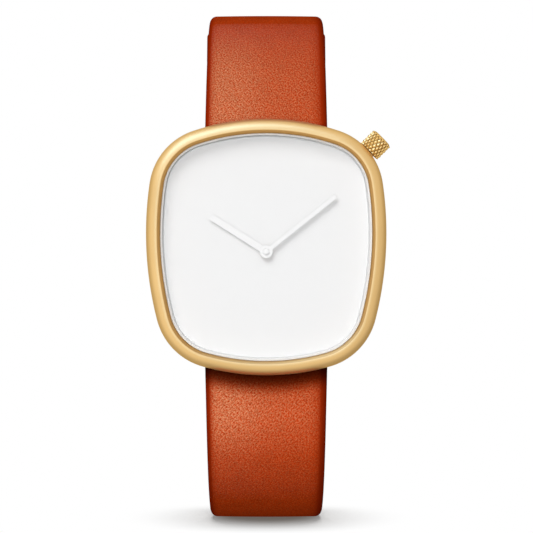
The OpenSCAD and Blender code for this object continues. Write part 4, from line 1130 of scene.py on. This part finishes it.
def keeper(name, from_buckle, body, node):
    """A leather loop round the strap, with its joint under the strap."""
    w = width_at(UPPER_L - from_buckle - KEEPER_W / 2, UPPER_L, BUCKLE_END_W) + 2 * KEEPER_SLACK
    low = -STRAP_T / 2 - KEEPER_SLACK
    h = 2 * (STRAP_T + 2 * KEEPER_SLACK)
    place = half_matrix(UPPER, UPPER_L - from_buckle)
    corners = rounded(w + KEEPER_T, h + KEEPER_T, KEEPER_CORNER_R + KEEPER_T / 2, 10, -1)
    path = [(0, -(h + KEEPER_T) / 2)] + corners
    band = rounded(KEEPER_W, KEEPER_T, KEEPER_ROUND)
    rings = []
    coordinates = []
    lengths = running_lengths(path)
    for k, (x, z) in enumerate(path):
        before = path[k - 1]
        after = path[(k + 1) % len(path)]
        out = Vector((after[1] - before[1], before[0] - after[0])).normalized()
        middle = z + low + h / 2
        rings.append([Vector((x + out.x * up, across, middle + out.y * up)) for across, up in band])
        coordinates.append([(across + up, lengths[k], KEEPER_W / 2 - abs(across)) for across, up in band])
    rings.append(rings[0])
    coordinates.append([(a, lengths[-1] + SNUG, c) for a, _, c in coordinates[0]])
    loop = loft(name, rings, place, [hide], coordinates, caps=False)
    dress(loop, body, "leather", node)


# Buckle

def make_buckle():
    """The frame: a rounded U of bright gold with an eye at each end and a notch for the tongue."""
    place = half_matrix(UPPER, UPPER_L)
    far = FRAME_REACH + RAIL_W / 2
    opening = far - RAIL_W

    def along_frame(arm, rail):
        """Points along the U, an arm's and a rail's width out from its opening."""
        right = [(FRAME_IN + arm, 0), (FRAME_IN + arm, opening / 2)]
        for a in quarter(14):
            right.append((FRAME_IN - FRAME_CORNER_R + (FRAME_CORNER_R + arm) * cos(a),
                          opening - FRAME_CORNER_R + (FRAME_CORNER_R + rail) * sin(a)))
        right.append((NOTCH_SPACE, opening + rail))
        return [Vector(p) for p in right + [(-x, y) for x, y in reversed(right)]]

    rings = []
    for inner, outer in zip(along_frame(0, 0), along_frame(FRAME_ARM_W, RAIL_W)):
        rings.append([Vector((*inner.lerp(outer, (across + 1) / 2), up))
                      for across, up in rounded(2, FRAME_T, FRAME_ROUND, 5)])
    bow = loft("buckle_bow", rings, place, [gold_bright])
    notch_w = TONGUE_W + 2 * STRAP_SLACK
    notch = block("tongue_notch", (-notch_w / 2, opening - PAST, FRAME_T / 2 - NOTCH_D),
                  (notch_w / 2, far + PAST, FRAME_T), place, gold_bright)
    cut(bow, [notch], 40)
    dress(bow, "buckle", "buckle_gold", "buckle_frame")
    near = [
        (PIN_R + SNUG, 0), (FRAME_EYE_R - EYE_SOFT, 0), (FRAME_EYE_R - EYE_SOFT / 4, 0.3 * EYE_SOFT),
        (FRAME_EYE_R, 1.1 * EYE_SOFT),
    ]
    profile = near + [(r, FRAME_ARM_W - z) for r, z in reversed(near)]
    for name, low in (("left", -FRAME_IN - FRAME_ARM_W), ("right", FRAME_IN)):
        across = place @ ACROSS @ Matrix.Translation((0, 0, low))
        dress(turned(f"buckle_eye_{name}", profile, across, [gold_bright]), "buckle", "buckle_gold")


def make_tongue():
    """The tongue: a hub rolled round the bar and a bar that narrows to a rounded tip on the rail."""
    place = half_matrix(UPPER, UPPER_L)
    z0 = FRAME_T / 2 - NOTCH_D + SNUG
    tip = FRAME_REACH + RAIL_W / 2 + TONGUE_PAST
    rings = []
    for s in (*TONGUE_AT, tip):
        x = max(0, (s - TAPER_FROM) / (tip - TAPER_FROM))
        w = TONGUE_W * (0.96 - 0.1 * s / tip) * sqrt(1 - TIP_NARROWER * x * x)
        thick = TONGUE_T * (1 - TIP_THINNER * x * x)
        band = rounded(w, thick, min(TONGUE_ROUND, w * 0.3, thick * 0.3))
        rings.append([Vector((across, s, z0 + thick / 2 + up)) for across, up in band])
    pin = loft("buckle_tongue_pin", rings, place, [gold_bright])
    smooth(pin.data, 40)
    dress(pin, "tongue", "buckle_gold", "buckle_tongue")
    half_w = SLOT_W / 2 - STRAP_SLACK
    r = BUCKLE_BAR_R + RUNNING + HUB_T
    bore = BUCKLE_BAR_R + SNUG
    shoulder = half_w - HUB_CHAMFER
    profile = [
        (bore, -half_w), (r - HUB_CHAMFER, -half_w), (r, -shoulder), (r, shoulder), (r - HUB_CHAMFER, half_w),
        (bore, half_w), (bore, -half_w),
    ]
    hub = turned("buckle_tongue_hub", profile, place @ ACROSS, [gold_bright], 40, caps=False)
    dress(hub, "tongue", "buckle_gold")


# CAD nodes that stay get a better material

NODE_MATERIALS = {
    gold_satin: ["crown_tube"],
    steel_bright: ["stem", "battery", "quartz_can", "movement_screws"],
    steel_brushed: ["setting_lever", "main_plate", "train_bridge", "coil_core", "stator"],
    brass: [
        "battery_clamp", "intermediate_wheel", "centre_wheel", "cannon_pinion", "minute_wheel", "hour_wheel",
    ],
    magnet_grey: ["rotor"],
    copper: ["coil"],
    white_moulded: ["movement_holder"],
    board_green: ["circuit_board"],
    black_moulded: ["control_chip"],
    rubber_black: ["crown_gasket", "case_back_gasket"],
    ruby: ["train_jewels"],
}
for bar in ("upper_bar", "lower_bar", "buckle_bar"):
    NODE_MATERIALS[steel_bright] += [f"{bar}_tube", f"{bar}_pin_left", f"{bar}_pin_right"]
    NODE_MATERIALS[steel_brushed].append(f"{bar}_spring")


def paint_nodes():
    for shader, names in NODE_MATERIALS.items():
        for name in names:
            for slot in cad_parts[name].material_slots:
                slot.material = shader.material


# Floor, light and camera

FLOOR_REACH = 4000
# How far the shadows reach to the sides and to the front and back, in metres, and the floor's glow over them
SHADOW_REACH = (0.025, 0.05)
SHADOW_FADE = ((0.2, 0.09), (1.0, 1))


def group(name, *objects):
    made = bpy.data.collections.new(name)
    for obj in objects:
        made.objects.link(obj)
    return made


def make_stage():
    """A pale floor that shows soft shadows near the watch and glows evenly farther away.

    The lower strap's face passes no light on to it, which would tint it red.
    """
    reach = FLOOR_REACH * MM
    corners = [(-reach, -reach, 0), (reach, -reach, 0), (reach, reach, 0), (-reach, reach, 0)]
    mesh = bpy.data.meshes.new("floor")
    mesh.from_pydata(corners, [], [(0, 1, 2, 3)])
    floor = new_object("floor", mesh)
    s = Shader("pale_floor", (0.62, 0.62, 0.62), 0.9, specular=0.0)
    s.bump(s.noise(300, 2), 0.02, 0.0001)
    away = s.length(s.stretched((1 / SHADOW_REACH[0], 1 / SHADOW_REACH[1], 1)))
    glow = s.node("Emission", Strength=1.0, Color=(1, 1, 1))
    shown = s.between(s.ramp(away, *SHADOW_FADE, smooth_steps=True), s.surface.outputs["BSDF"],
                      glow.outputs["Emission"])
    s.feed(shown, s.tree.nodes["Material Output"].inputs["Surface"])
    mesh.materials.append(s.material)
    floor.visible_glossy = False
    floor.visible_diffuse = False
    floor.visible_shadow = False
    bpy.data.objects["strap_lower_face"].visible_diffuse = False
    others = group("all_but_floor", floor)
    others.collection_objects[0].light_linking.link_state = "EXCLUDE"
    return group("only_floor", floor), others


# Surroundings: axis towards a bend in their brightness, the bend's start and end on it, the brightness before
# and past it, and what is added towards +X, +Y and +Z
SEEN_IN_METAL = ((0, 1, -0.5), (0.0, 0.9), (1.0, 0.52), (-0.11, 0, 0))
FALLING_ON = ((0, 0.5, 0.8), (-0.1, 0.8), (0.18, 0.5), (-0.02, 0, 0))


def surroundings(w, light):
    """A background whose brightness changes across the studio."""
    axis, (start, end), (before, past), slope = light
    bend = w.node("MapRange", interpolation_type="SMOOTHSTEP")
    w.joined(bend, w.along(axis), start, end, before, past)
    strength = w.maths("ADD", bend.outputs["Result"], w.along(slope))
    return w.node("Background", Color=(1, 1, 1), Strength=strength).outputs["Background"]


def make_world():
    """Studio surroundings: one brightness for what metal mirrors, one for soft light, white to the camera."""
    world = bpy.data.worlds.new("studio")
    bpy.context.scene.world = world
    w = Nodes(world, "Generated")
    path = w.node("LightPath").outputs
    seen = w.joined(w.tree.nodes["Background"], (1, 1, 1), 1.0)
    around = w.between(path["Is Glossy Ray"], surroundings(w, FALLING_ON), surroundings(w, SEEN_IN_METAL))
    shown = w.between(path["Is Camera Ray"], around, seen.outputs["Background"])
    w.feed(shown, w.tree.nodes["World Output"].inputs["Surface"])


LIGHT_AWAY = 800
# Side it comes from, size and power of each light
KEY = ((-0.3, -0.8, 0.6), 500, 3.8)
FRONT = ((-0.03, -0.99, -0.05), 240, 2.9)
TOP = ((0, 0.3, 0.95), 500, 9.5)
GLINT = ((-0.4, -0.4, 0.82), 900, 7)
CREST_LIGHT = ((-0.1, -0.99, 0.1), 600, 1.3)
GLINT_COLOUR = (0.22, 0.45, 1.0)


def studio_light(name, setting, receivers, colour=(1, 1, 1), mirrored=False):
    """A square light that shines from one side on some objects only."""
    side, size, power = setting
    lamp = bpy.data.lights.new(name, "AREA")
    lamp.shape = "SQUARE"
    lamp.size = size * MM
    lamp.energy = power
    lamp.color = colour
    obj = new_object(name, lamp)
    away = Vector(side).normalized()
    obj.location = (Vector((0, CASE_Y, HANDS_UP)) + away * LIGHT_AWAY) * MM
    obj.rotation_euler = away.to_track_quat("Z", "Y").to_euler()
    obj.visible_camera = False
    obj.visible_glossy = mirrored
    obj.light_linking.receiver_collection = receivers
    return lamp


def make_lights():
    """A broad key from the upper left, a fill by the camera, a top light for the floor and two for the gold.

    Only the fill's and the top light's light is passed on from one surface to another.
    """
    key = studio_light("key", KEY, all_but_floor)
    studio_light("front", FRONT, all_but_floor)
    studio_light("top", TOP, only_floor)
    gilded = group("gilded", bpy.data.objects["case_shell"], bpy.data.objects["crown_knurled"])
    glint = studio_light("glint", GLINT, gilded, GLINT_COLOUR, True)
    crest_light = studio_light("crest_light", CREST_LIGHT, gilded, GLINT_COLOUR, True)
    for lamp in (key, glint, crest_light):
        lamp.cycles.max_bounces = 0


IMAGE_W = 533
HANDS_AT = (266.2, 251.6)
PIXEL = 0.16215
CAMERA_AWAY = 650


def make_camera():
    camera = bpy.data.cameras.new("camera")
    obj = new_object("camera", camera)
    bpy.context.scene.camera = obj
    camera.sensor_width = 36
    camera.lens = camera.sensor_width * CAMERA_AWAY / (IMAGE_W * PIXEL)
    camera.clip_start = 0.01
    camera.clip_end = 20
    right = (IMAGE_W / 2 - HANDS_AT[0]) * PIXEL
    down = (IMAGE_W / 2 - HANDS_AT[1]) * PIXEL
    obj.location = Vector((right, CASE_Y - WIDEST_Z - CAMERA_AWAY, HANDS_UP - down)) * MM
    obj.rotation_euler = (pi / 2, 0, 0)


def make_view():
    settings = bpy.context.scene.view_settings
    settings.view_transform = "Standard"
    settings.look = "None"
    settings.exposure = 0
    settings.gamma = 1


make_case()
make_case_back()
make_crystal()
make_gasket()
make_flange()
make_dial()
make_hand("hour_hand_bar", HOUR_HAND, HOUR_Z, "hour_train", "hour_hand")
make_hand("minute_hand_bar", MINUTE_HAND, MINUTE_Z, "minute_train", "minute_hand")
make_cap()
make_crown()
make_upper_strap()
make_lower_strap()
keeper("keeper_fixed_loop", KEEPER_AT, "upper_strap", "keeper_fixed")
keeper("keeper_sliding_loop", KEEPER_AT + KEEPER_SPACING, "sliding_keeper", "keeper_sliding")
make_buckle()
make_tongue()
paint_nodes()
only_floor, all_but_floor = make_stage()
make_world()
make_lights()
make_camera()
make_view()
